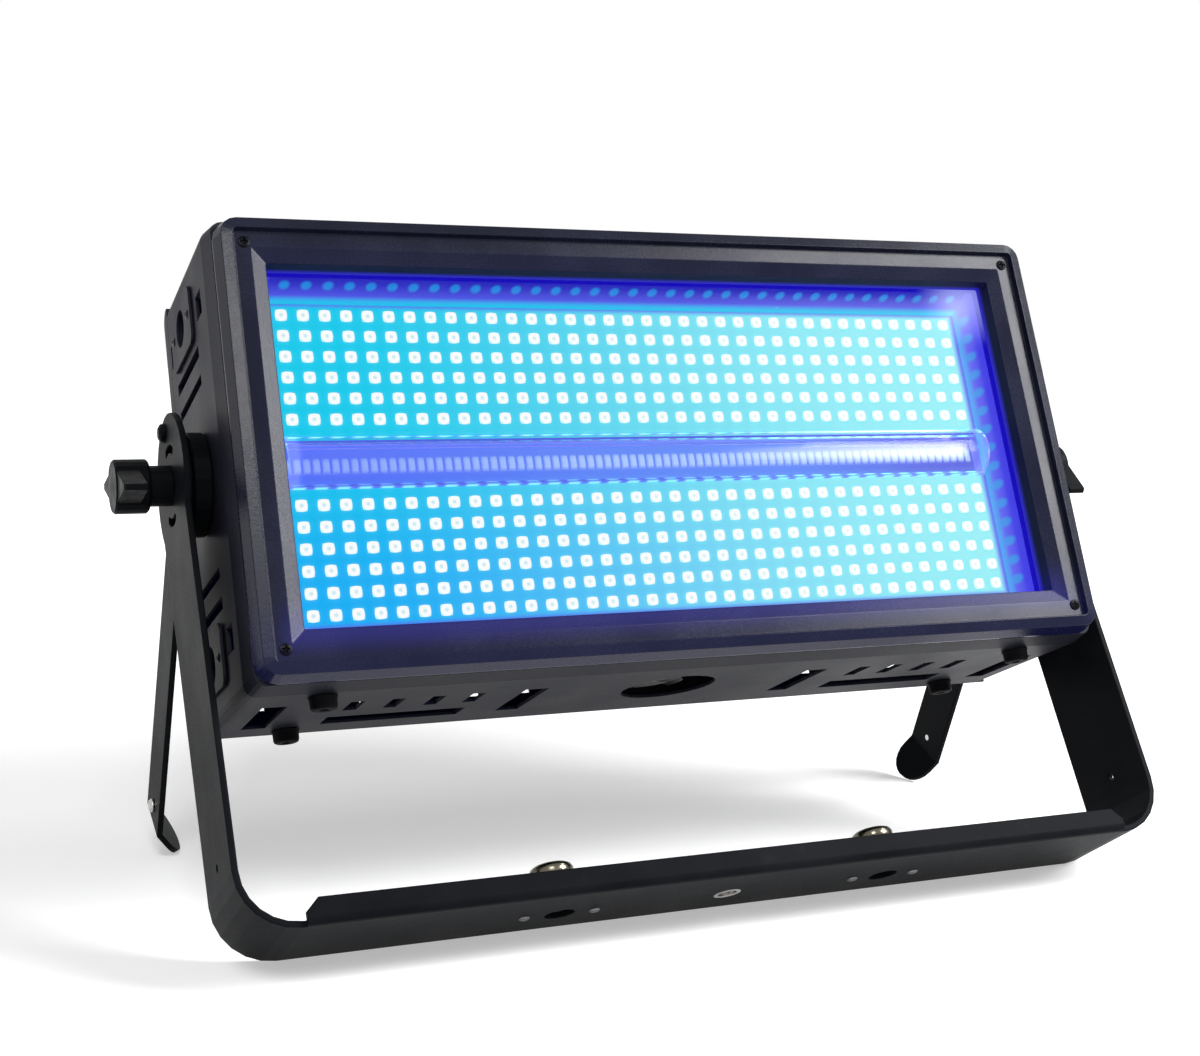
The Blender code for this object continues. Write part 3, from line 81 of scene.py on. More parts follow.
PIVOT = Vector(joint_value("housing_tilt", "pos_m"))
FAN_AXIS = Vector(joint_value("fan_spin", "axis"))
FAN_PLACE = Vector(joint_value("fan_spin", "pos_m"))
BASE_AXIS = Vector(FRAME["record"]["mounts"][0]["axis"])
TILT = math.atan2(FAN_AXIS.y, FAN_AXIS.z)
LEAN = math.atan2(-BASE_AXIS.y, -BASE_AXIS.z)
BEZEL_TO_PIVOT = 56.5 * MM
HOUSING = (Matrix.Translation(PIVOT) @ Matrix.Rotation(-TILT, 4, 'X')
           @ Matrix.Translation((0, -BEZEL_TO_PIVOT, 0)))
YOKE = Matrix.Translation(PIVOT) @ Matrix.Rotation(-LEAN, 4, 'X')
FORWARD = Matrix.Rotation(math.pi / 2, 4, 'X')
BACKWARD = Matrix.Rotation(-math.pi / 2, 4, 'X')
DOWN = Matrix.Rotation(math.pi, 4, 'X')

# Depths of faces behind the bezel front, and other places that follow the solids
LED_BOARD_FACE = 29.4 * MM
STROBE_BOARD_FACE = 34.9 * MM
REAR_FACE = 109.5 * MM
SOCKET_FACE = 111.4 * MM
SOCKET_ROW = -35.0 * MM
BASE_UNDER = -197.5 * MM
BASE_TOP = -195.0 * MM
BASE_ROW = 5.0 * MM
LED_COLUMNS = 36
LED_ROWS = 6
CELL_COUNT = 80
OPENING_HALF_WIDTH = 177.75 * MM
OPENING_HALF_HEIGHT = 77.85 * MM
SHELL_UNDER = -100.3 * MM
FOOT_X = 167.0 * MM
FIELD_HALF_WIDTH = 173.57 * MM
FIELD_HALF_HEIGHT = 71.57 * MM
BEZEL_SCREW_X = 186.5 * MM
BEZEL_SCREW_Z = 86.0 * MM
FRONT_CORNER_X = 197.0 * MM
FRONT_CORNER_Z = 97.0 * MM
PLATE_FACE = 201.5 * MM
PLATE_SCREW_DEPTHS = (52.0 * MM, 83.5 * MM)
PLATE_SCREW_Z = 75.9 * MM
COVER_SCREWS = ((-185.0, -94.0), (-185.0, 94.0), (-62.0, -94.0), (-62.0, 94.0), (62.0, -94.0), (62.0, 94.0),
                (185.0, -94.0), (185.0, 94.0), (-185.0, 0.0), (185.0, 0.0))
CLAMP_X = 77.0 * MM
RIVET_STEP = 15.5 * MM
SOCKET_FLANGE = 1.8 * MM
FOOT_ROWS = ((26.0 * MM, "front"), (93.0 * MM, "rear"))
# Centre of the reflection painted in the upper right corner of the glass
GLARE_X = 168.0 * MM
GLARE_Z = 72.0 * MM

# Lamps: name, setting of their power, direction from the tilt axis and width; then the camera
LAMP_DISTANCE = 1.8
LAMPS = (("key_lamp", "key_power", (0.67, -0.48, 0.565), 0.8),
         ("side_lamp", "side_power", (-0.3, -0.64, 0.7), 0.5),
         ("top_lamp", "top_power", (0.68, -0.05, 0.73), 0.36))
CAMERA_FROM_PIVOT = (-0.36228984, -0.78795843, 0.09439142)
CAMERA_ANGLES = (82.21596, -1.54220, -23.52930)
CAMERA_LENS = 56.3587
CAMERA_SHIFT = (-0.0024095, -0.0010304)
SOCKET_TOP = -180.0 * MM


def srgb(red, green, blue):
    """Linear colour of an sRGB triple: each channel over 255, a straight foot, then a power of 2.4."""
    part = np.array((red, green, blue)) / 255.0
    return tuple(np.where(part <= 0.04045, part / 12.92, ((part + 0.055) / 1.055) ** 2.4).tolist())


def outward(side):
    """Turn that sends a piece's own height to the outside of one side."""
    return Matrix.Rotation(side * math.pi / 2, 4, 'Y')


def spot(frame, x, y, z, turn=Matrix()):
    """Place of a piece in a frame of the light, as an array."""
    return np.array(frame @ Matrix.Translation((x, y, z)) @ turn)


def ring_shape(points):
    """Closed surface through rings: quads join neighbouring rings and a middle point closes each end."""
    rings, count = points.shape[:2]
    index = np.arange(rings * count).reshape(rings, count)
    after = np.roll(index, -1, axis=1)
    quads = np.stack((index[:-1], after[:-1], after[1:], index[1:]), -1).reshape(-1, 4)
    low, high = rings * count, rings * count + 1
    start = np.stack((after[0], index[0], np.full(count, low)), -1)
    end = np.stack((index[-1], after[-1], np.full(count, high)), -1)
    ends = np.stack((points[0].mean(0), points[-1].mean(0)))
    return np.vstack((points.reshape(-1, 3), ends)), quads, np.vstack((start, end))


def turned(profile, steps):
    """Surface of revolution: radius(v) times cosine and sine of u, at height(v)."""
    radius, height = np.array(profile, float).T
    angle = np.arange(steps) * (2 * np.pi / steps)
    x = np.outer(radius, np.cos(angle))
    y = np.outer(radius, np.sin(angle))
    z = np.repeat(height[:, None], steps, 1)
    return ring_shape(np.stack((x, y, z), -1))


def rounded_post(levels, steps, squareness):
    """Upright of superellipse rings: radius is one over the root of |cos u|^p + |sin u|^p, scaled by
    the half width and half depth of each level."""
    levels = np.array(levels, float)
    angle = (np.arange(steps) + 0.5) * (2 * np.pi / steps)
    power = np.array(squareness, float)[:, None] * np.ones((1, steps))
    spread = (np.abs(np.cos(angle)) ** power + np.abs(np.sin(angle)) ** power) ** (-1 / power)
    x = levels[:, :1] * spread * np.cos(angle)
    y = levels[:, 1:2] * spread * np.sin(angle)
    z = levels[:, 2:3] * np.ones_like(x)
    return ring_shape(np.stack((x, y, z), -1))


def cross_head(radius, height, reach, width, depth):
    """Domed screw head: height falls with the square of the radius, and a cross-shaped hollow is
    taken out where the smaller of |x| and |y| is under half the slot's width."""
    rows = np.array((1.0, 1.0, 0.93, 0.8, 0.66, 0.6, 0.42, 0.22, 0.08)) * radius
    angle = (np.arange(40) + 0.5) * (2 * np.pi / 40)
    x = np.outer(rows, np.cos(angle))
    y = np.outer(rows, np.sin(angle))
    dome = height * (1 - 0.55 * (rows / radius) ** 2)[:, None] * np.ones_like(x)
    arm = np.minimum(np.abs(x), np.abs(y)) < width / 2
    inside = (np.hypot(x, y) < reach) & arm
    z = dome - depth * inside
    z[0] = -0.4 * MM
    return ring_shape(np.stack((x, y, z), -1))


def bar_shape(x0, x1, y0, y1, z0, z1, edge):
    """Box with bevelled ends: rectangle rings that shrink by the bevel at its low and high end."""
    corners = np.array(((1, -1), (1, 1), (-1, 1), (-1, -1)), float)
    middle = np.array(((x0 + x1) / 2, (y0 + y1) / 2))
    half = np.array(((x1 - x0) / 2, (y1 - y0) / 2))
    rings = []
    for height, inset in ((z0, edge), (z0 + edge, 0), (z1 - edge, 0), (z1, edge)):
        flat = middle + corners * (half - inset)
        rings.append(np.column_stack((flat, np.full(4, height))))
    return ring_shape(np.array(rings))


def corner_web(near, far, thickness):
    """Flat corner piece: rings of a right-angled triangle with its square corner cut off, at two
    heights."""
    flat = np.array(((-near, 0), (-far, 0), (0, -far), (0, -near)))
    rings = [np.column_stack((flat, np.full(4, height))) for height in (0.0, thickness)]
    return ring_shape(np.array(rings))


def copies(shape, places):
    """The same shape at many places, worked out in one step."""
    verts, quads, tris = shape
    places = np.asarray(places)
    placed = np.einsum("kij,nj->kni", places[:, :3, :3], verts) + places[:, None, :3, 3]
    step = (np.arange(len(places)) * len(verts))[:, None, None]
    return placed.reshape(-1, 3), (quads + step).reshape(-1, 4), (tris + step).reshape(-1, 3)


def joined(*shapes):
    """Several shapes as one."""
    sizes = np.cumsum([0] + [len(shape[0]) for shape in shapes])
    verts = np.vstack([shape[0] for shape in shapes])
    quads = np.vstack([shape[1] + size for shape, size in zip(shapes, sizes)])
    tris = np.vstack([shape[2] + size for shape, size in zip(shapes, sizes)])
    return verts, quads, tris


def make_piece(name, shape, finish, body, crease=35.0):
    """Put a finished shape into the scene and let it ride on a body."""
    verts, quads, tris = shape
    mesh = bpy.data.meshes.new(name)
    mesh.from_pydata(verts.tolist(), [], quads.tolist() + tris.tolist())
    mesh.update()
    mesh.shade_smooth()
    mesh.set_sharp_from_angle(angle=math.radians(crease))
    mesh.materials.append(finish)
    piece = bpy.data.objects.new(name, mesh)
    bpy.context.scene.collection.objects.link(piece)
    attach(piece, body)
    return piece


class Graph:
    """Node tree of one finish, with short calls for the nodes that it uses."""

    def __init__(self, name):
        """Start from a new Principled material read in Object coordinates."""
        self.material = bpy.data.materials.new(name)
        self.material.use_nodes = True
        self.tree = self.material.node_tree
        self.shader = self.tree.nodes["Principled BSDF"]
        self.place = self.node("ShaderNodeTexCoord").outputs["Object"]

    def node(self, kind, **settings):
        """Add one node with its settings."""
        made = self.tree.nodes.new(kind)
        for key, value in settings.items():
            setattr(made, key, value)
        return made

    def feed(self, socket, value):
        """Link a socket or set its value."""
        if isinstance(value, bpy.types.NodeSocket):
            self.tree.links.new(value, socket)
        else:
            socket.default_value = value

    def math(self, operation, *values):
        """One step of arithmetic."""
        made = self.node("ShaderNodeMath", operation=operation)
        for socket, value in zip(made.inputs, values):
            self.feed(socket, value)
        return made.outputs[0]

    def noise(self, scale, detail=2.0, vector=None):
        """Noise from 0 to 1 over the place."""
        made = self.node("ShaderNodeTexNoise")
        self.feed(made.inputs["Vector"], vector or self.place)
        self.feed(made.inputs["Scale"], scale)
        self.feed(made.inputs["Detail"], detail)
        return made.outputs[0]

    def between(self, factor, low, high, start=0.0, end=1.0):
        """Number from start to end as the factor goes from low to high."""
        made = self.node("ShaderNodeMapRange", interpolation_type='SMOOTHSTEP')
        for socket, value in zip(made.inputs, (factor, low, high, start, end)):
            self.feed(socket, value)
        return made.outputs[0]

    def blend(self, factor, first, second):
        """Colour between two colours."""
        made = self.node("ShaderNodeMix", data_type='RGBA')
        self.feed(made.inputs[0], factor)
        for socket, value in ((made.inputs[6], first), (made.inputs[7], second)):
            self.feed(socket, value if isinstance(value, bpy.types.NodeSocket) else (*value, 1.0))
        return made.outputs[2]

    def round_edges(self, radius):
        """Normal that runs smoothly over edges closer than a radius."""
        made = self.node("ShaderNodeBevel", samples=6)
        self.feed(made.inputs["Radius"], radius)
        return made.outputs[0]

    def bump(self, height, strength, distance, normal=None):
        """Normal of a fine relief."""
        made = self.node("ShaderNodeBump")
        self.feed(made.inputs["Height"], height)
        self.feed(made.inputs["Strength"], strength)
        self.feed(made.inputs["Distance"], distance)
        if normal is not None:
            self.feed(made.inputs["Normal"], normal)
        return made.outputs[0]

    def housing_place(self):
        """Object place turned into the housing's own width, depth and height."""
        made = self.node("ShaderNodeMapping", vector_type='TEXTURE')
        self.feed(made.inputs["Vector"], self.place)
        made.inputs["Location"].default_value = HOUSING.translation
        made.inputs["Rotation"].default_value = (-TILT, 0, 0)
        parts = self.node("ShaderNodeSeparateXYZ")
        self.feed(parts.inputs[0], made.outputs[0])
        return parts.outputs

    def set(self, **values):
        """Set or feed sockets of the shader by name."""
        for key, value in values.items():
            socket = self.shader.inputs[key.replace("_", " ")]
            if isinstance(value, tuple) and len(value) == 3:
                value = (*value, 1.0)
            self.feed(socket, value)


def powder_graph(name, color, roughness, edge=0.5 * MM, grain=1500.0, ior=1.3, relief=0.3):
    """Fine-grained paint: small beads in the relief, cloudy tone and faint rubbed streaks."""
    g = Graph(name)
    grain_noise = g.noise(grain, 2.0)
    cloud = g.noise(26.0, 4.0)
    rub = g.between(g.noise(90.0, 5.0), 0.62, 0.8)
    dark = tuple(0.82 * part for part in color)
    light = tuple(1.22 * part + 0.001 for part in color)
    tone = g.blend(g.between(cloud, 0.3, 0.7), dark, light)
    tone = g.blend(g.math('MULTIPLY', rub, 0.18), tone, tuple(min(1.0, 2.4 * part + 0.01) for part in color))
    rough = g.between(g.math('ADD', g.math('MULTIPLY', cloud, 0.5), g.math('MULTIPLY', grain_noise, 0.5)),
                      0.3, 0.7, roughness - 0.06, roughness + 0.07)
    g.set(Base_Color=tone, Roughness=rough, IOR=ior,
          Normal=g.bump(grain_noise, relief, 0.1 * MM, g.round_edges(edge)))
    return g


def bezel_finish(name, colours):
    """Powder paint of the front frame, with a painted violet glow standing for the spill of the lights: strongest
    on the wall round the glass and fading over the slopes outside it, more along the bottom. The wall inside the
    opening gets painted shade: near black and matt."""
    g = powder_graph(name, tuple(colours.bezel), 0.25, 0.7 * MM, 1100.0, 1.22, 0.34)
    x, y, z = g.housing_place()
    outside = g.math('MAXIMUM', g.math('SUBTRACT', g.math('ABSOLUTE', x), OPENING_HALF_WIDTH),
                     g.math('SUBTRACT', g.math('ABSOLUTE', z), OPENING_HALF_HEIGHT))
    # Painted glow: emission standing for the lights' violet spill on the wall round the glass, the slopes and the
    # bottom
    wall = g.between(outside, -0.3 * MM, 0.8 * MM, 1.0, 0.0)
    deep = g.between(y, 7.5 * MM, 11.5 * MM, 0.02, 0.9)
    slope = g.between(outside, 0.0, 13.0 * MM, 0.16, 0.02)
    low = g.between(z, -60.0 * MM, -84.0 * MM, 0.1, 1.0)
    painted_wall_glow = g.math('MULTIPLY', wall, deep)
    spill = g.math('ADD', painted_wall_glow, g.math('MULTIPLY', slope, low))
    # Painted shade: the wall inside the opening is darkened to near black and made matt
    painted_shade_wall = g.between(outside, -0.3 * MM, 0.5 * MM, 1.0, 0.0)
    tone = g.shader.inputs["Base Color"].links[0].from_socket
    rough = g.shader.inputs["Roughness"].links[0].from_socket
    g.set(Base_Color=g.blend(painted_shade_wall, tone, (0.0008, 0.0008, 0.0012)),
          Roughness=g.math('MAXIMUM', rough, g.math('MULTIPLY', painted_shade_wall, 0.85)),
          Emission_Color=g.blend(wall, tuple(colours.spill), tuple(colours.painted_edge_glow)),
          Emission_Strength=spill)
    return g.material


def gasket_finish(name, colours):
    """Soft black seal behind the glass, with a painted blue glow standing for the boards' light from the side."""
    g = Graph(name)
    fine = g.noise(900.0, 2.0)
    # Painted glow: emission in the blue of the boards' light
    g.set(Base_Color=(0.002, 0.002, 0.004), Roughness=g.between(fine, 0.3, 0.7, 0.7, 0.9),
          Specular_IOR_Level=0.0, Emission_Color=tuple(colours.painted_edge_glow),
          Emission_Strength=g.between(fine, 0.2, 0.8, 0.8, 1.0), Normal=g.bump(fine, 0.2, 0.05 * MM))
    return g.material


def plastic_finish(name, color, roughness, edge=0.5 * MM, ior=1.35):
    """Moulded plastic: smooth skin with a slight flow pattern and a few dull spots."""
    g = Graph(name)
    flow = g.noise(160.0, 3.0)
    fine = g.noise(1500.0, 1.0)
    tone = g.blend(flow, tuple(0.8 * part for part in color), tuple(1.3 * part for part in color))
    g.set(Base_Color=tone, Roughness=g.between(flow, 0.3, 0.7, roughness - 0.05, roughness + 0.08),
          IOR=ior, Normal=g.bump(fine, 0.1, 0.04 * MM, g.round_edges(edge)))
    return g.material


def metal_finish(name, color, roughness, lines=(60.0, 60.0, 1400.0), edge=0.3 * MM):
    """Bare metal: fine drawn lines in tone and relief, with cloudy oxidation."""
    g = Graph(name)
    stretch = g.node("ShaderNodeMapping")
    g.feed(stretch.inputs["Vector"], g.place)
    stretch.inputs["Scale"].default_value = lines
    drawn = g.noise(1.0, 3.0, stretch.outputs[0])
    cloud = g.noise(70.0, 4.0)
    tone = g.blend(g.between(cloud, 0.3, 0.75), tuple(0.78 * part for part in color), color)
    g.set(Base_Color=tone, Metallic=1.0,
          Roughness=g.between(g.math('ADD', drawn, cloud), 0.6, 1.4, roughness - 0.08, roughness + 0.12),
          Normal=g.bump(drawn, 0.12, 0.03 * MM, g.round_edges(edge)))
    return g.material


def glass_finish(name, tint):
    """Coated clear pane: full transmission under a thin hazy coat, with a faint cloudy tint and a painted
    pale reflection in its upper right corner."""
    g = Graph(name)
    cloud = g.noise(38.0, 5.0)
    x, _, z = g.housing_place()
    # Painted reflection: a pale glow round the upper right corner stands for a lamp's reflection in the pane
    across = g.math('SUBTRACT', x, GLARE_X)
    up = g.math('SUBTRACT', z, GLARE_Z)
    corner = g.math('SQRT', g.math('ADD', g.math('MULTIPLY', across, across), g.math('MULTIPLY', up, up)))
    painted_corner_reflection = g.math('MULTIPLY', g.between(corner, 2.0 * MM, 26.0 * MM, 0.2, 0.0),
                  g.between(cloud, 0.2, 0.8, 0.8, 1.2))
    g.set(Base_Color=g.blend(cloud, tint, tuple(min(1.0, 1.04 * part) for part in tint)),
          Transmission_Weight=1.0, IOR=1.001, Roughness=0.0, Coat_Weight=0.08, Coat_IOR=1.4,
          Coat_Roughness=0.3, Emission_Color=(0.75, 0.8, 1.0), Emission_Strength=painted_corner_reflection)
    return g.material


def led_offset(g, x, z, pitch, row_pitch):
    """Distance to the nearest light in pitches, from the broken part of width and height."""
    across = g.math('SUBTRACT', g.math('FRACT', g.math('DIVIDE', x, pitch)), 0.5)
    up = g.math('SUBTRACT', g.math('FRACT', g.math('ADD', g.math('DIVIDE', z, row_pitch), 0.5)), 0.5)
    squares = g.math('ADD', g.math('MULTIPLY', across, across), g.math('MULTIPLY', up, up))
    return g.math('SQRT', squares)


def sink_finish(name, colours):
    """Raw aluminium whose front and groove under the strobe row carry a painted violet glow of the strobe row's
    light, the front painted near black under it.
    """
    g = Graph(name)
    _, y, z = g.housing_place()
    drawn = g.noise(400.0, 3.0)
    # Painted glow: the groove and the front emit the violet light of the strobe row, and the front is painted near
    # black and non-metallic under it
    groove = g.math('MULTIPLY', g.between(g.math('ABSOLUTE', z), 11.5 * MM, 12.5 * MM, 1.0, 0.0),
                    g.between(y, 44.0 * MM, 48.0 * MM, 1.0, 0.0))
    front = g.between(y, 33.0 * MM, 36.0 * MM, 1.0, 0.0)
    bare = g.blend(drawn, (0.4, 0.42, 0.44), (0.6, 0.62, 0.64))
    g.set(Base_Color=g.blend(front, bare, (0.002, 0.002, 0.006)), Metallic=g.math('SUBTRACT', 1.0, front),
          Roughness=g.between(drawn, 0.3, 0.7, 0.75, 0.9), Emission_Color=tuple(colours.channel_right),
          Emission_Strength=g.math('MAXIMUM', groove, g.math('MULTIPLY', front, 0.9)), Specular_IOR_Level=0.0)
    return g.material


def board_finish(name, sizes, colours):
    """Light board with a painted glow of its LEDs: the painted light rises round each light and towards the right
    of the field.
    """
    g = Graph(name)
    x, _, z = g.housing_place()
    near = led_offset(g, x, z, sizes.led_pitch, sizes.led_pitch * sizes.row_ratio)
    # Painted glow: a halo round each LED and a brightening towards the right stand for the LEDs' light on the
    # board
    halo = g.between(near, 0.2, 0.6, 1.0, 0.0)
    side = g.between(x, -0.15, 0.17)
    low = g.between(z, 0.02, -0.06)
    left = g.blend(low, tuple(colours.field_left), tuple(colours.field_low))
    deep = g.blend(side, left, tuple(colours.field_right))
    glow = g.blend(g.math('MULTIPLY', halo, g.between(side, 0.0, 1.0, 0.1, 0.55)), deep,
                   tuple(colours.field_halo))
    # Painted glow: violet light along the edges of the field, with a mottle of the same violet
    edge = g.math('MAXIMUM', g.between(g.math('ABSOLUTE', z), 69.0 * MM, 72.5 * MM),
                  g.between(g.math('ABSOLUTE', x), 169.5 * MM, 173.5 * MM))
    glow = g.blend(edge, glow, tuple(colours.violet))
    mottled = g.blend(g.math('MULTIPLY', g.noise(420.0, 3.0), 0.06), glow, tuple(colours.violet))
    g.set(Base_Color=(0.002, 0.003, 0.003), Roughness=0.9, Emission_Color=mottled, Emission_Strength=1.0,
          Specular_IOR_Level=0.0)
    return g.material


def led_finish(name, sizes, colours):
    """White lit package with a pale cell in the middle of each, and a painted halo of the board glow round its
    rim.
    """
    g = Graph(name)
    x, _, z = g.housing_place()
    near = led_offset(g, x, z, sizes.led_pitch, sizes.led_pitch * sizes.row_ratio)
    dot = g.between(near, 0.03, 0.14, 1.0, 0.0)
    side = g.between(x, -0.12, 0.12, 0.5, 0.25)
    rim = g.between(near, 0.24, 0.33)
    tone = g.blend(g.math('MULTIPLY', dot, side), (1.0, 1.0, 1.0), tuple(colours.led_dot))
    # Painted glow: the rim takes the halo colour of the board glow
    tone = g.blend(g.math('MULTIPLY', rim, 0.6), tone, tuple(colours.field_halo))
    g.set(Base_Color=(0.003, 0.003, 0.003), Roughness=0.9, Emission_Color=tone, Emission_Strength=0.97,
          Specular_IOR_Level=0.0)
    return g.material


def strobe_finish(name, sizes, colours):
    """Strobe row in glow: brighter upright cells between darker gaps on a painted violet-blue glow of the board.
    """
    g = Graph(name)
    x, _, z = g.housing_place()
    part = g.math('FRACT', g.math('DIVIDE', x, sizes.cell_pitch))
    cell = g.between(g.math('ABSOLUTE', g.math('SUBTRACT', part, 0.5)), 0.22, 0.44, 1.0, 0.0)
    level = g.between(g.math('ABSOLUTE', z), 1.6 * MM, 3.9 * MM, 1.0, 0.0)
    # Painted glow: the board's violet blue between the cells stands for the strobe light; the cells are the lamps
    bright = g.between(x, -0.17, 0.02, 0.5, 1.0)
    field = g.blend(bright, tuple(colours.channel_left), tuple(colours.channel))
    field = g.blend(g.between(x, 0.06, 0.17), field, tuple(colours.channel_right))
    amount = g.math('MULTIPLY', g.math('MULTIPLY', cell, level), bright)
    tone = g.blend(amount, field, tuple(colours.cell))
    g.set(Base_Color=(0.002, 0.002, 0.003), Roughness=0.9, Emission_Color=tone, Emission_Strength=1.0,
          Specular_IOR_Level=0.0)
    return g.material


def reflector_finish(name, sizes, colours):
    """Polished wall with a painted violet glow: it deepens towards the glass, with one dim row of painted
    reflections where the outer lights show in it, and painted cyan light next to the board."""
    g = Graph(name)
    x, y, z = g.housing_place()
    wave = g.noise(45.0, 3.0)
    on_side = g.math('GREATER_THAN', g.math('ABSOLUTE', x), 173.5 * MM)
    along_x = g.math('SUBTRACT', g.math('FRACT', g.math('DIVIDE', x, sizes.led_pitch)), 0.5)
    row = sizes.led_pitch * sizes.row_ratio
    along_z = g.math('SUBTRACT', g.math('FRACT', g.math('ADD', g.math('DIVIDE', z, row), 0.5)), 0.5)
    along = g.node("ShaderNodeMix")
    for socket, value in zip(along.inputs[:1] + along.inputs[2:4], (on_side, along_x, along_z)):
        g.feed(socket, value)
    depth = g.math('SUBTRACT', y, g.math('ADD', 19.0 * MM, g.math('MULTIPLY', on_side, 4.5 * MM)))
    depth = g.math('DIVIDE', depth, g.math('ADD', 10.0 * MM, g.math('MULTIPLY', on_side, 6.0 * MM)))
    squares = g.math('ADD', g.math('MULTIPLY', along.outputs[0], along.outputs[0]),
                     g.math('MULTIPLY', depth, depth))
    # Painted reflections: spots of the outer LEDs mirrored in the wall
    spots = g.between(g.math('SQRT', squares), 0.14, 0.32, 0.75, 0.0)
    inside = g.between(g.math('ABSOLUTE', z), 68.5 * MM, 70.0 * MM, 1.0, 0.0)
    spots = g.math('MULTIPLY', spots, g.math('MAXIMUM', inside, g.math('SUBTRACT', 1.0, on_side)))
    outer = g.blend(on_side, tuple(colours.violet_deep), tuple(colours.violet_side))
    base = g.blend(g.between(y, 15.0 * MM, 29.0 * MM), outer, tuple(colours.violet))
    base = g.blend(g.math('MULTIPLY', wave, 0.3), base, tuple(colours.violet))
    # Painted glow: cyan light of the board near its face
    near_board = g.math('MULTIPLY', g.between(y, 24.0 * MM, 28.6 * MM),
                        g.between(on_side, 0.0, 1.0, 0.85, 0.45))
    base = g.blend(near_board, base, tuple(colours.field_left))
    g.set(Base_Color=g.blend(wave, (0.002, 0.002, 0.006), (0.003, 0.003, 0.008)), Specular_IOR_Level=0.0,
          Roughness=g.between(wave, 0.3, 0.7, 0.6, 0.7),
          Emission_Color=g.blend(spots, base, tuple(colours.mirrored)), Emission_Strength=1.0,
          Normal=g.bump(wave, 0.2, 0.4 * MM))
    return g.material


def lens_finish(name, sizes, colours):
    """Clear half-round cover: a painted dashed glow of the nearest lights along its two long edges and at its
    ends, and two pale painted highlight streaks of a lamp that brighten to the right and stop short of the end."""
    g = Graph(name)
    x, _, z = g.housing_place()
    # Painted glow: dashes of the nearest LEDs' light along the long edges, and a glow at the ends
    dash = g.between(g.math('ABSOLUTE', g.math('SUBTRACT', g.math('FRACT', g.math(
        'DIVIDE', x, sizes.led_pitch)), 0.5)), 0.2, 0.42, 1.0, 0.15)
    edge = g.between(g.math('ABSOLUTE', z), 11.0 * MM, 11.4 * MM)
    end = g.between(g.math('ABSOLUTE', x), 165.5 * MM, 168.5 * MM, 0.0, 0.45)
    cloud = g.noise(60.0, 3.0)
    # Painted highlights: two streaks stand for a lamp's reflection in the cover
    stops = g.between(x, 154.0 * MM, 162.0 * MM, 1.0, 0.0)
    upper = g.between(g.math('ABSOLUTE', g.math('SUBTRACT', z, 9.2 * MM)), 0.3 * MM, 1.1 * MM, 0.6, 0.0)
    upper = g.math('MULTIPLY', upper, g.between(x, 0.03, 0.14))
    lower = g.between(g.math('ABSOLUTE', g.math('ADD', z, 2.2 * MM)), 0.6 * MM, 5.0 * MM, 0.5, 0.0)
    lower = g.math('MULTIPLY', lower, g.between(x, 0.0, 0.15))
    streaks = g.math('MULTIPLY', g.math('MAXIMUM', upper, lower), stops)
    dashes = g.math('MULTIPLY', edge, g.math('ADD', g.math('MULTIPLY', dash, 0.7), 0.15))
    glow = g.blend(g.math('MULTIPLY', dash, edge), tuple(colours.channel_right), tuple(colours.field_halo))
    g.set(Base_Color=g.blend(cloud, (0.9, 0.94, 1.0), (0.95, 0.98, 1.0)), Transmission_Weight=1.0,
          IOR=1.22, Roughness=g.between(cloud, 0.3, 0.8, 0.02, 0.06),
          Emission_Color=g.blend(g.between(streaks, 0.0, 0.1), glow, (0.78, 0.84, 1.0)),
          Emission_Strength=g.math('MAXIMUM', streaks, g.math('MAXIMUM', end, dashes)))
    return g.material


class PanelSizes(bpy.types.PropertyGroup):
    """Sizes of the small pieces."""
    led_pitch: FloatProperty(name="LED pitch", description="Distance between LED columns",
                             default=9.517 * MM, unit='LENGTH')
    row_ratio: FloatProperty(name="Row ratio", description="Row distance over column distance",
                             default=0.994, subtype='FACTOR')
    led_width: FloatProperty(name="LED width", description="Width of one LED package",
                             default=5.0 * MM, unit='LENGTH')
    led_height: FloatProperty(name="LED height", description="Height of one LED package",
                              default=1.2 * MM, unit='LENGTH')
    cell_pitch: FloatProperty(name="Cell pitch", description="Distance between strobe cells",
                              default=4.18 * MM, unit='LENGTH')
    cell_width: FloatProperty(name="Cell width", description="Width of one strobe cell",
                              default=2.7 * MM, unit='LENGTH')
    screw_radius: FloatProperty(name="Screw radius", description="Radius of a bezel screw head",
                                default=2.5 * MM, unit='LENGTH')
    rivet_radius: FloatProperty(name="Rivet radius", description="Radius of a base rivet",
                                default=2.4 * MM, unit='LENGTH')


def colour_property(name, description, default):
    """Colour setting with its name, description and default."""
    return FloatVectorProperty(name=name, description=description, default=default, size=3,
                               min=0.0, max=1.0, subtype='COLOR')


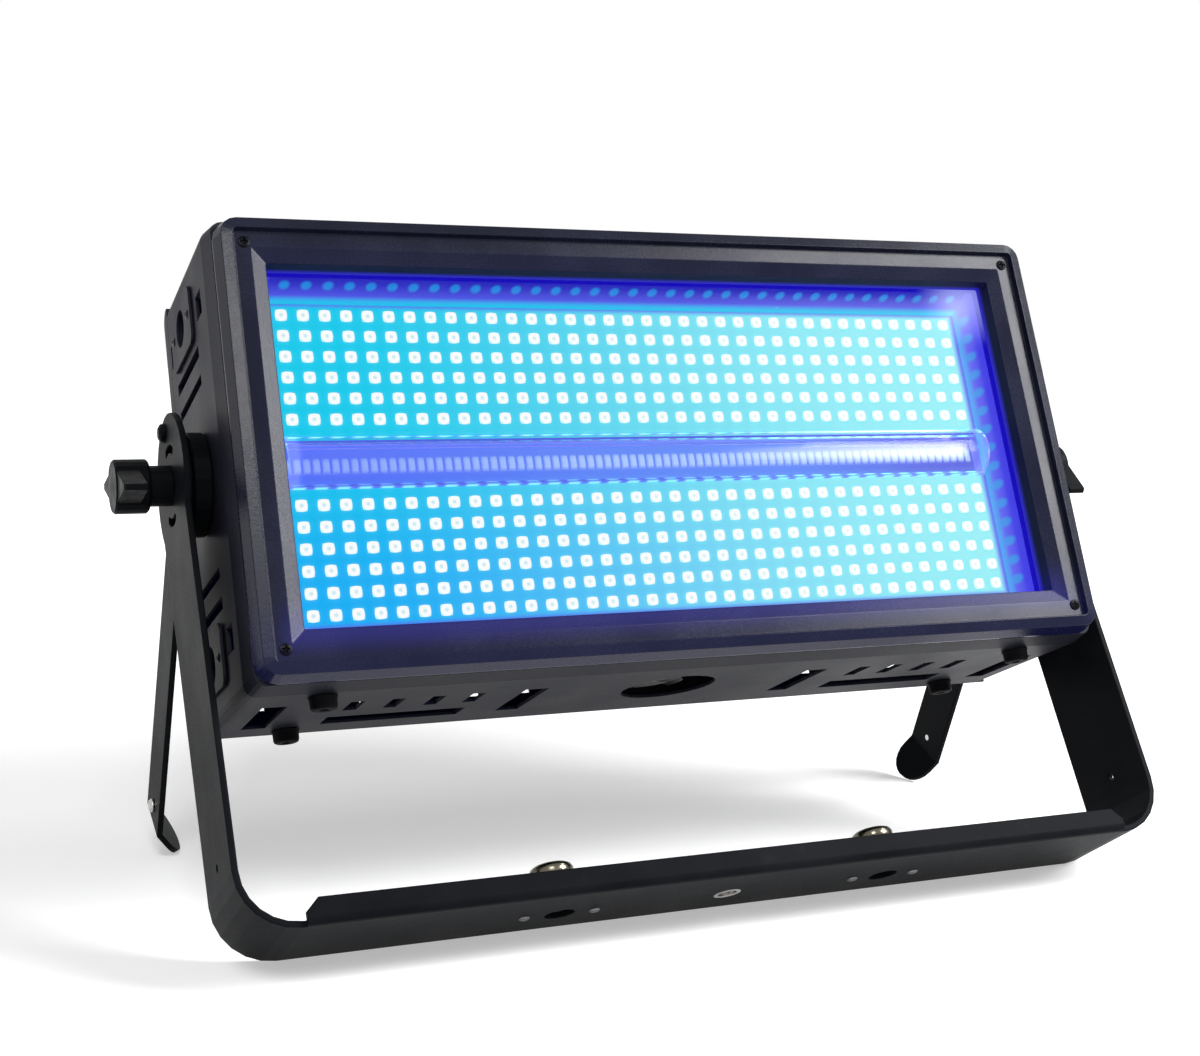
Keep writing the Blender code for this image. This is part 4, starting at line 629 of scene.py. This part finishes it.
class PanelColours(bpy.types.PropertyGroup):
    """Colours of paints and lights."""
    bezel: colour_property("Bezel", "Paint of the front frame", (0.004, 0.005, 0.013))
    shell: colour_property("Housing", "Paint of the shell and rear cover", (0.009, 0.0095, 0.016))
    yoke: colour_property("Yoke", "Paint of the yoke and legs", (0.0048, 0.0055, 0.007))
    plastic: colour_property("Plastic", "Knobs, discs and sockets", (0.0025, 0.003, 0.004))
    nickel: colour_property("Nickel", "Dark caps of the clamp sockets", (0.13, 0.12, 0.09))
    steel: colour_property("Steel", "Plated fittings", (0.56, 0.55, 0.53))
    # Painted light: the field, halo, violet, mirrored and channel colours are glows and reflections painted as
    # emission on boards, reflector, sink and lens; the LED cell and strobe cell colours are the lamps' own
    field_left: colour_property("Field left", "Board glow at the upper left", srgb(0, 203, 236))
    field_low: colour_property("Field low", "Board glow at the lower left", srgb(0, 174, 245))
    field_right: colour_property("Field right", "Board glow at the right", srgb(150, 238, 242))
    field_halo: colour_property("Field halo", "Glow next to each LED", srgb(130, 243, 250))
    led_dot: colour_property("LED cell", "Cell in the middle of an LED", srgb(112, 212, 224))
    violet: colour_property("Violet", "Glow of the reflector", srgb(84, 92, 236))
    violet_deep: colour_property("Deep violet", "Darker glow of the reflector", srgb(30, 22, 176))
    violet_side: colour_property("Side violet", "Glow of the reflector's two ends", srgb(66, 58, 226))
    mirrored: colour_property("Mirrored lights", "Spots in the reflector", srgb(30, 150, 226))
    channel_left: colour_property("Channel left", "Glow between the boards at the left", srgb(74, 80, 248))
    channel: colour_property("Channel", "Glow between the boards", srgb(98, 138, 246))
    channel_right: colour_property("Channel right", "Glow between the boards at the right", srgb(84, 92, 222))
    cell: colour_property("Strobe cell", "Glow of the strobe cells", srgb(178, 204, 252))
    # Painted light: the spill on the frame and the blue line round the glass and on the seal are glows painted as
    # emission
    spill: colour_property("Spill", "Light that falls on the frame", (0.1, 0.09, 1.0))
    painted_edge_glow: colour_property("Edge line", "Blue line round the glass", (0.010, 0.005, 0.52))


class StageSettings(bpy.types.PropertyGroup):
    """Floor, lamps and world."""
    floor: colour_property("Floor", "Colour of the floor", (0.76, 0.76, 0.76))
    floor_lift: FloatProperty(name="Floor lift", description="Brightness the camera sees added on the floor",
                              default=0.42, min=0.0, max=1.0)
    ambient: FloatProperty(name="Ambient", description="Strength of the plain surroundings",
                           default=0.28, min=0.0, max=2.0)
    key_power: FloatProperty(name="Key lamp", description="Power of the large lamp at the front right",
                             default=52.0, min=0.0, unit='POWER')
    side_power: FloatProperty(name="Side lamp", description="Power of the lamp at the front left",
                              default=15.0, min=0.0, unit='POWER')
    top_power: FloatProperty(name="Top lamp", description="Power of the lamp above",
                             default=6.0, min=0.0, unit='POWER')


def paint_nodes(finish, *names):
    """Give CAD nodes a finish through their material slots."""
    for name in names:
        node = NODES[name]
        if not node.material_slots:
            node.data.materials.append(finish)
        for slot in node.material_slots:
            slot.material = finish


class STROBE_OT_finishes(bpy.types.Operator):
    """Give every solid of the light its finish"""
    bl_idname = "strobe.finishes"
    bl_label = "Finish the solids"

    def execute(self, context):
        """Make the finishes and assign them."""
        colours = context.scene.strobe_colours
        sizes = context.scene.strobe_sizes
        sides = ("left", "right")
        paint_nodes(bezel_finish("bezel_paint", colours), "bezel")
        plates = ["side_plate_%s_%s" % (level, side) for level in ("upper", "lower") for side in sides]
        shell = powder_graph("shell_paint", tuple(colours.shell), 0.46, ior=1.17).material
        paint_nodes(shell, "housing_shell", "rear_cover", *plates)
        yoke = powder_graph("yoke_paint", tuple(colours.yoke), 0.42, 1.2 * MM, ior=1.08).material
        paint_nodes(yoke, "yoke", "leg_left", "leg_right")
        plastic = plastic_finish("black_plastic", tuple(colours.plastic), 0.38, ior=1.1)
        buttons = ["menu_button_%d" % number for number in (1, 2, 3, 4)]
        paint_nodes(plastic, "knob_left", "knob_right", "pivot_disc_left", "pivot_disc_right", "fan_frame",
                    "fan_rotor", "power_inlet", "power_outlet", "fuse_holder", "ear_screw_left",
                    "ear_screw_right", *buttons)
        steel = metal_finish("plated_steel", tuple(colours.steel), 0.26)
        paint_nodes(steel, "clamp_socket_left", "clamp_socket_right", "centre_insert", "leg_stud_left",
                    "leg_stud_right", "pivot_stud_left", "pivot_stud_right", "data_inlet", "data_outlet")
        aluminium = metal_finish("raw_aluminium", (0.58, 0.6, 0.62), 0.4, (1200.0, 50.0, 50.0))
        paint_nodes(aluminium, "power_supply")
        paint_nodes(sink_finish("lit_sink", colours), "heat_sink")
        feet = ["rubber_foot_%s_%s" % (row, side) for row in ("front", "rear") for side in sides]
        rubber = plastic_finish("foot_rubber", (0.003, 0.003, 0.004), 0.6, ior=1.12)
        paint_nodes(rubber, *feet)
        paint_nodes(gasket_finish("lit_seal", colours), "glass_gasket")
        paint_nodes(glass_finish("front_pane", (0.96, 0.98, 1.0)), "front_glass")
        paint_nodes(plastic_finish("smoked_window", (0.012, 0.016, 0.03), 0.1), "display_window")
        paint_nodes(reflector_finish("lit_reflector", sizes, colours), "reflector")
        paint_nodes(board_finish("led_board_glow", sizes, colours), "led_board_upper", "led_board_lower")
        paint_nodes(strobe_finish("strobe_board_glow", sizes, colours), "strobe_board")
        paint_nodes(lens_finish("strobe_lens_clear", sizes, colours), "strobe_lens")
        paint_nodes(plastic_finish("circuit_board", (0.02, 0.12, 0.05), 0.4), "driver_board")
        return {'FINISHED'}


class STROBE_OT_lights(bpy.types.Operator):
    """Fill the two boards with LEDs and the channel with strobe cells"""
    bl_idname = "strobe.lights"
    bl_label = "Place LEDs and strobe cells"

    def execute(self, context):
        """Work out one package and one cell, and place them in rows."""
        sizes = context.scene.strobe_sizes
        colours = context.scene.strobe_colours
        half, high = sizes.led_width / 2, sizes.led_height
        package = rounded_post(
            ((half, half, -0.1 * MM), (half, half, high - 0.2 * MM), (half * 0.94, half * 0.94, high),
             (half * 0.72, half * 0.72, high), (half * 0.66, half * 0.66, high - 0.35 * MM)),
            12, (7, 7, 7, 2.2, 2))
        finish = led_finish("lit_package", sizes, colours)
        columns = (np.arange(LED_COLUMNS) - (LED_COLUMNS - 1) / 2) * sizes.led_pitch
        for sign, name in ((1, "led_packages_upper"), (-1, "led_packages_lower")):
            rows = sign * (2 + np.arange(LED_ROWS)) * sizes.led_pitch * sizes.row_ratio
            places = [spot(HOUSING, x, LED_BOARD_FACE, z, FORWARD) for z in rows for x in columns]
            make_piece(name, copies(package, places), finish, "housing")
        cell_half = sizes.cell_width / 2
        cell = rounded_post(
            ((cell_half, 3.3 * MM, -0.1 * MM), (cell_half, 3.3 * MM, 0.7 * MM),
             (cell_half - 0.3 * MM, 3.0 * MM, 0.9 * MM)), 12, (5, 5, 5))
        centres = (np.arange(CELL_COUNT) - (CELL_COUNT - 1) / 2) * sizes.cell_pitch
        places = [spot(HOUSING, x, STROBE_BOARD_FACE, 0, FORWARD) for x in centres]
        make_piece("strobe_cells", copies(cell, places), strobe_finish("lit_cell", sizes, colours),
                   "housing")
        # Strips round the LED field carrying the reflector's painted violet glow
        wide, high, rim, edge = FIELD_HALF_WIDTH, FIELD_HALF_HEIGHT, 2.8 * MM, 0.02 * MM
        front, back = LED_BOARD_FACE - 0.05 * MM, LED_BOARD_FACE + 1.5 * MM
        bars = [bar_shape(-wide - rim, wide + rim, front, back, low, low + rim, edge)
                for low in (high, -high - rim)]
        bars += [bar_shape(low, low + rim, front, back, -high, high, edge) for low in (wide, -wide - rim)]
        make_piece("field_edge_strips", copies(joined(*bars), [np.array(HOUSING)]),
                   bpy.data.materials["lit_reflector"], "housing")
        return {'FINISHED'}


class STROBE_OT_fasteners(bpy.types.Operator):
    """Place the screws and rivets"""
    bl_idname = "strobe.fasteners"
    bl_label = "Place screws and rivets"

    def execute(self, context):
        """Screws of bezel, side plates and rear cover, and rivets of the base."""
        sizes = context.scene.strobe_sizes
        colours = context.scene.strobe_colours
        blackened = metal_finish("blackened_screw", (0.007, 0.007, 0.009), 0.34)
        steel = metal_finish("dull_rivet", (0.16, 0.16, 0.165), 0.36)
        r = sizes.screw_radius
        screw = cross_head(r, 0.8 * MM, 0.62 * r, 0.26 * r, 0.7 * MM)
        corners = [(sx * BEZEL_SCREW_X, sz * BEZEL_SCREW_Z) for sx in (-1, 1) for sz in (-1, 1)]
        places = [spot(HOUSING, x, 0, z, FORWARD) for x, z in corners]
        make_piece("bezel_screws", copies(screw, places), blackened, "housing")
        web = corner_web(2.5 * MM, 13.0 * MM, 0.9 * MM)
        places = []
        for turn, (sx, sz) in enumerate(((1, 1), (-1, 1), (-1, -1), (1, -1))):
            places.append(spot(HOUSING, sx * FRONT_CORNER_X, 8.6 * MM, sz * FRONT_CORNER_Z,
                               FORWARD @ Matrix.Rotation(turn * math.pi / 2, 4, 'Z')))
        make_piece("front_corner_webs", copies(web, places), bpy.data.materials["shell_paint"], "housing")
        small = cross_head(1.9 * MM, 0.7 * MM, 1.15 * MM, 0.5 * MM, 0.5 * MM)
        places = []
        for side in (-1, 1):
            for sign in (-1, 1):
                for depth in PLATE_SCREW_DEPTHS:
                    height = sign * PLATE_SCREW_Z
                    places.append(spot(HOUSING, side * PLATE_FACE, depth, height, outward(side)))
        make_piece("side_plate_screws", copies(small, places), blackened, "housing")
        places = [spot(HOUSING, x * MM, REAR_FACE, z * MM, BACKWARD) for x, z in COVER_SCREWS]
        make_piece("cover_screws", copies(small, places), blackened, "housing")
        r = sizes.rivet_radius
        dome = turned(((r, -0.3 * MM), (r, 0.1 * MM), (0.9 * r, 0.5 * MM), (0.62 * r, 0.85 * MM),
                       (0.3 * r, 1.0 * MM)), 20)
        places = []
        for side in (-1, 1):
            for step in (-RIVET_STEP, RIVET_STEP):
                x = side * CLAMP_X + step
                places.append(spot(YOKE, x, BASE_ROW, BASE_UNDER, DOWN))
                places.append(spot(YOKE, x, BASE_ROW, BASE_TOP + SOCKET_FLANGE))
        make_piece("base_rivets", copies(dome, places), steel, "yoke")
        return {'FINISHED'}


class STROBE_OT_sockets(bpy.types.Operator):
    """Place the pins and faces inside the rear sockets"""
    bl_idname = "strobe.sockets"
    bl_label = "Place socket pins"

    def execute(self, context):
        """Blades of the power sockets and pins of the data sockets."""
        steel = bpy.data.materials["plated_steel"]
        plastic = bpy.data.materials["black_plastic"]
        blade = rounded_post(((1.0 * MM, 2.4 * MM, 0), (1.0 * MM, 2.4 * MM, 9.0 * MM),
                              (0.6 * MM, 2.0 * MM, 10.0 * MM)), 12, (5, 5, 5))
        x_inlet = (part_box("power_inlet")[0].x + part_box("power_inlet")[1].x) / 2
        x_outlet = (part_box("power_outlet")[0].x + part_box("power_outlet")[1].x) / 2
        floor = SOCKET_FACE - 14.0 * MM
        offsets = ((-7.0, -1.5), (0.0, 2.5), (7.0, -1.5))
        places = [spot(HOUSING, x_inlet + dx * MM, floor, SOCKET_ROW + dz * MM, BACKWARD)
                  for dx, dz in offsets]
        make_piece("power_inlet_blades", copies(blade, places), steel, "housing")
        insert = bar_shape(-9.5 * MM, 9.5 * MM, -5.5 * MM, 5.5 * MM, 0, 8.0 * MM, 0.6 * MM)
        place = spot(HOUSING, x_outlet, floor, SOCKET_ROW, BACKWARD)
        make_piece("power_outlet_insert", copies(insert, [place]), plastic, "housing")
        pin = turned(((1.1 * MM, 0), (1.1 * MM, 7.4 * MM), (0.7 * MM, 8.4 * MM), (0.3 * MM, 8.7 * MM)), 16)
        floor = SOCKET_FACE - 11.0 * MM
        turns = (math.pi / 6, 5 * math.pi / 6, 3 * math.pi / 2)
        ring = [(4.6 * math.cos(turn), 4.6 * math.sin(turn)) for turn in turns]
        for name, node in (("data_inlet_pins", "data_inlet"), ("data_outlet_pins", "data_outlet")):
            x = (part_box(node)[0].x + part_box(node)[1].x) / 2
            places = [spot(HOUSING, x + dx * MM, floor, SOCKET_ROW + dz * MM, BACKWARD) for dx, dz in ring]
            make_piece(name, copies(pin, places), steel, "housing")
        return {'FINISHED'}


class STROBE_OT_fan(bpy.types.Operator):
    """Build the fan rotor with its swept blades"""
    bl_idname = "strobe.fan"
    bl_label = "Build the fan rotor"

    def execute(self, context):
        """Hub turned from a profile, and blades as a thin section carried outwards."""
        hub = turned(((2.0 * MM, 2.6 * MM), (5.4 * MM, 2.6 * MM), (6.2 * MM, 1.8 * MM),
                      (7.4 * MM, 2.2 * MM), (8.4 * MM, 3.6 * MM), (9.0 * MM, 6.0 * MM),
                      (9.2 * MM, 11.6 * MM), (1.5 * MM, 11.6 * MM), (1.5 * MM, 13.6 * MM)), 48)
        place = np.array(Matrix.Translation(FAN_PLACE) @ Matrix.Rotation(-TILT, 4, 'X'))
        blades = [self.blade(index * 2 * np.pi / 7) for index in range(7)]
        rotor = make_piece("fan_rotor_swept", copies(joined(hub, *blades), [place]),
                           bpy.data.materials["black_plastic"], "fan")
        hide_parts("fan_rotor")
        return {'FINISHED'}

    @staticmethod
    def blade(start):
        """Thin oval section carried from hub to tip: its angle leads with the radius, and its chord
        climbs across the depth of the duct."""
        span = np.linspace(0, 1, 9)[:, None]
        turn = np.arange(18) * (2 * np.pi / 18)
        radius = (9.0 + span * 13.2) * MM
        chord = 0.5 * np.cos(turn)[None, :]
        thick = 0.45 * MM * np.sin(turn)[None, :]
        angle = start + 0.5 * span + chord * 12.5 * MM / radius
        height = 6.3 * MM + chord * (8.6 - 1.6 * span) * MM + thick
        return ring_shape(np.stack((radius * np.cos(angle), radius * np.sin(angle), height), -1)[:, ::-1])


class STROBE_OT_feet(bpy.types.Operator):
    """Place the rubber feet"""
    bl_idname = "strobe.feet"
    bl_label = "Place the rubber feet"

    def execute(self, context):
        """Low rubber studs turned from a rounded profile with a hollow under each."""
        r = 5.7 * MM
        stud = turned(((r + 0.4 * MM, 0), (r + 0.3 * MM, 0.5 * MM), (r, 1.0 * MM),
                       (r - 0.1 * MM, 4.2 * MM), (r - 0.5 * MM, 5.1 * MM), (r - 1.3 * MM, 5.5 * MM),
                       (2.4 * MM, 5.5 * MM), (1.9 * MM, 5.2 * MM), (1.8 * MM, 3.6 * MM)), 40)
        for side, side_name in ((-1, "left"), (1, "right")):
            for depth, row in FOOT_ROWS:
                place = spot(HOUSING, side * FOOT_X, depth, SHELL_UNDER, DOWN)
                foot = make_piece("rubber_stud_%s_%s" % (row, side_name), copies(stud, [place]),
                                  bpy.data.materials["foot_rubber"], "housing")
                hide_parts("rubber_foot_%s_%s" % (row, side_name))
        return {'FINISHED'}


class STROBE_OT_socket_caps(bpy.types.Operator):
    """Place the polished caps on the clamp sockets"""
    bl_idname = "strobe.socket_caps"
    bl_label = "Place the clamp socket caps"

    def execute(self, context):
        """Shallow domes turned from a quarter-round profile, over the top of each socket."""
        nickel = metal_finish("dark_nickel", tuple(context.scene.strobe_colours.nickel), 0.2)
        r = 9.15 * MM
        cap = turned(((r, -2.5 * MM), (r + 0.2 * MM, -2.2 * MM), (r + 0.2 * MM, 0.6 * MM),
                      (r - 0.5 * MM, 2.0 * MM), (r - 2.0 * MM, 2.9 * MM), (4.2 * MM, 3.2 * MM),
                      (2.2 * MM, 3.1 * MM), (1.6 * MM, 2.4 * MM)), 64)
        for side, side_name in ((-1, "left"), (1, "right")):
            place = spot(YOKE, side * CLAMP_X, BASE_ROW, SOCKET_TOP)
            make_piece("clamp_cap_" + side_name, copies(cap, [place]), nickel, "yoke")
        return {'FINISHED'}


class STROBE_OT_stage(bpy.types.Operator):
    """Build the floor, lamps, world and camera"""
    bl_idname = "strobe.stage"
    bl_label = "Build the stage"

    def execute(self, context):
        """Plain pale floor and soft lamps, and the camera at the viewing angle."""
        stage = context.scene.strobe_stage
        self.floor(context, stage)
        self.world(context, stage)
        for name, power, direction, width in LAMPS:
            self.lamp(context, name, getattr(stage, power), direction, width)
        self.camera(context)
        context.scene.view_settings.view_transform = 'Standard'
        return {'FINISHED'}

    def floor(self, context, stage):
        """Wide flat grid under the light."""
        axis = np.linspace(-4.0, 4.0, 9)
        x, y = np.meshgrid(axis, axis)
        verts = np.stack((x, y, np.full_like(x, CAD_BOX[0][2] - 0.2 * MM)), -1).reshape(-1, 3)
        index = np.arange(81).reshape(9, 9)
        quads = np.stack((index[:-1, :-1], index[:-1, 1:], index[1:, 1:], index[1:, :-1]), -1).reshape(-1, 4)
        mesh = bpy.data.meshes.new("floor")
        mesh.from_pydata(verts.tolist(), [], quads.tolist())
        g = Graph("floor_paper")
        path = g.node("ShaderNodeLightPath")
        seen = g.math('MAXIMUM', path.outputs["Is Camera Ray"], g.math(
            'MAXIMUM', path.outputs["Is Glossy Ray"], path.outputs["Is Transmission Ray"]))
        length = g.node("ShaderNodeVectorMath", operation='LENGTH')
        g.feed(length.inputs[0], g.place)
        lift = g.between(length.outputs["Value"], 0.35, 1.3, stage.floor_lift, 1.0)
        g.set(Base_Color=tuple(stage.floor), Roughness=0.9, Specular_IOR_Level=0.0,
              Emission_Color=(1.0, 1.0, 1.0), Emission_Strength=g.math('MULTIPLY', seen, lift))
        mesh.materials.append(g.material)
        floor = bpy.data.objects.new("floor", mesh)
        context.scene.collection.objects.link(floor)

    def world(self, context, stage):
        """Plain surroundings, white where the camera, gloss or glass sees them."""
        world = bpy.data.worlds.new("plain_surroundings")
        context.scene.world = world
        world.use_nodes = True
        tree = world.node_tree
        background = tree.nodes["Background"]
        path = tree.nodes.new("ShaderNodeLightPath")
        value = path.outputs["Is Camera Ray"]
        for name in ("Is Glossy Ray", "Is Transmission Ray"):
            larger = tree.nodes.new("ShaderNodeMath")
            larger.operation = 'MAXIMUM'
            tree.links.new(value, larger.inputs[0])
            tree.links.new(path.outputs[name], larger.inputs[1])
            value = larger.outputs[0]
        span = tree.nodes.new("ShaderNodeMapRange")
        tree.links.new(value, span.inputs[0])
        span.inputs[3].default_value = stage.ambient
        span.inputs[4].default_value = 1.0
        tree.links.new(span.outputs[0], background.inputs["Strength"])
        background.inputs["Color"].default_value = (1.0, 1.0, 1.0, 1.0)

    def lamp(self, context, name, power, direction, width):
        """Soft square lamp in one direction from the tilt axis, turned towards it."""
        data = bpy.data.lights.new(name, 'AREA')
        data.shape = 'RECTANGLE'
        data.size = width
        data.size_y = width
        data.energy = power
        lamp = bpy.data.objects.new(name, data)
        away = Vector(direction).normalized()
        lamp.location = PIVOT + LAMP_DISTANCE * away
        lamp.rotation_mode = 'QUATERNION'
        lamp.rotation_quaternion = (-away).to_track_quat('-Z', 'Y')
        context.scene.collection.objects.link(lamp)

    def camera(self, context):
        """Camera at its place relative to the tilt axis."""
        data = bpy.data.cameras.new("camera")
        data.sensor_width = 36.0
        data.lens = CAMERA_LENS
        data.shift_x, data.shift_y = CAMERA_SHIFT
        camera = bpy.data.objects.new("camera", data)
        camera.location = PIVOT + Vector(CAMERA_FROM_PIVOT)
        camera.rotation_euler = [math.radians(angle) for angle in CAMERA_ANGLES]
        context.scene.collection.objects.link(camera)
        context.scene.camera = camera


PIECES = (STROBE_OT_finishes, STROBE_OT_lights, STROBE_OT_fasteners, STROBE_OT_sockets, STROBE_OT_fan,
          STROBE_OT_feet, STROBE_OT_socket_caps, STROBE_OT_stage)


class STROBE_PT_panel(bpy.types.Panel):
    """Sidebar list of the light's pieces and settings"""
    bl_idname = "STROBE_PT_panel"
    bl_label = "Strobe light"
    bl_space_type = 'VIEW_3D'
    bl_region_type = 'UI'
    bl_category = "Strobe light"

    def draw(self, context):
        """List settings and operators."""
        scene = context.scene
        for group in (scene.strobe_sizes, scene.strobe_colours, scene.strobe_stage):
            box = self.layout.box()
            for name in group.__annotations__:
                box.prop(group, name)
        for piece in PIECES:
            self.layout.operator(piece.bl_idname)


CLASSES = (PanelSizes, PanelColours, StageSettings) + PIECES + (STROBE_PT_panel,)


def register():
    """Register every class and the settings of the scene."""
    for cls in CLASSES:
        bpy.utils.register_class(cls)
    bpy.types.Scene.strobe_sizes = PointerProperty(type=PanelSizes)
    bpy.types.Scene.strobe_colours = PointerProperty(type=PanelColours)
    bpy.types.Scene.strobe_stage = PointerProperty(type=StageSettings)


def unregister():
    """Take the settings and classes away again."""
    del bpy.types.Scene.strobe_stage
    del bpy.types.Scene.strobe_colours
    del bpy.types.Scene.strobe_sizes
    for cls in reversed(CLASSES):
        bpy.utils.unregister_class(cls)


def main():
    """Clear the start-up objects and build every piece."""
    for name in ("Cube", "Light", "Camera"):
        if name in bpy.data.objects:
            bpy.data.objects.remove(bpy.data.objects[name], do_unlink=True)
    register()
    for piece in PIECES:
        group, name = piece.bl_idname.split(".")
        getattr(getattr(bpy.ops, group), name)()
    bpy.context.view_layer.update()


if __name__ == "__main__":
    main()
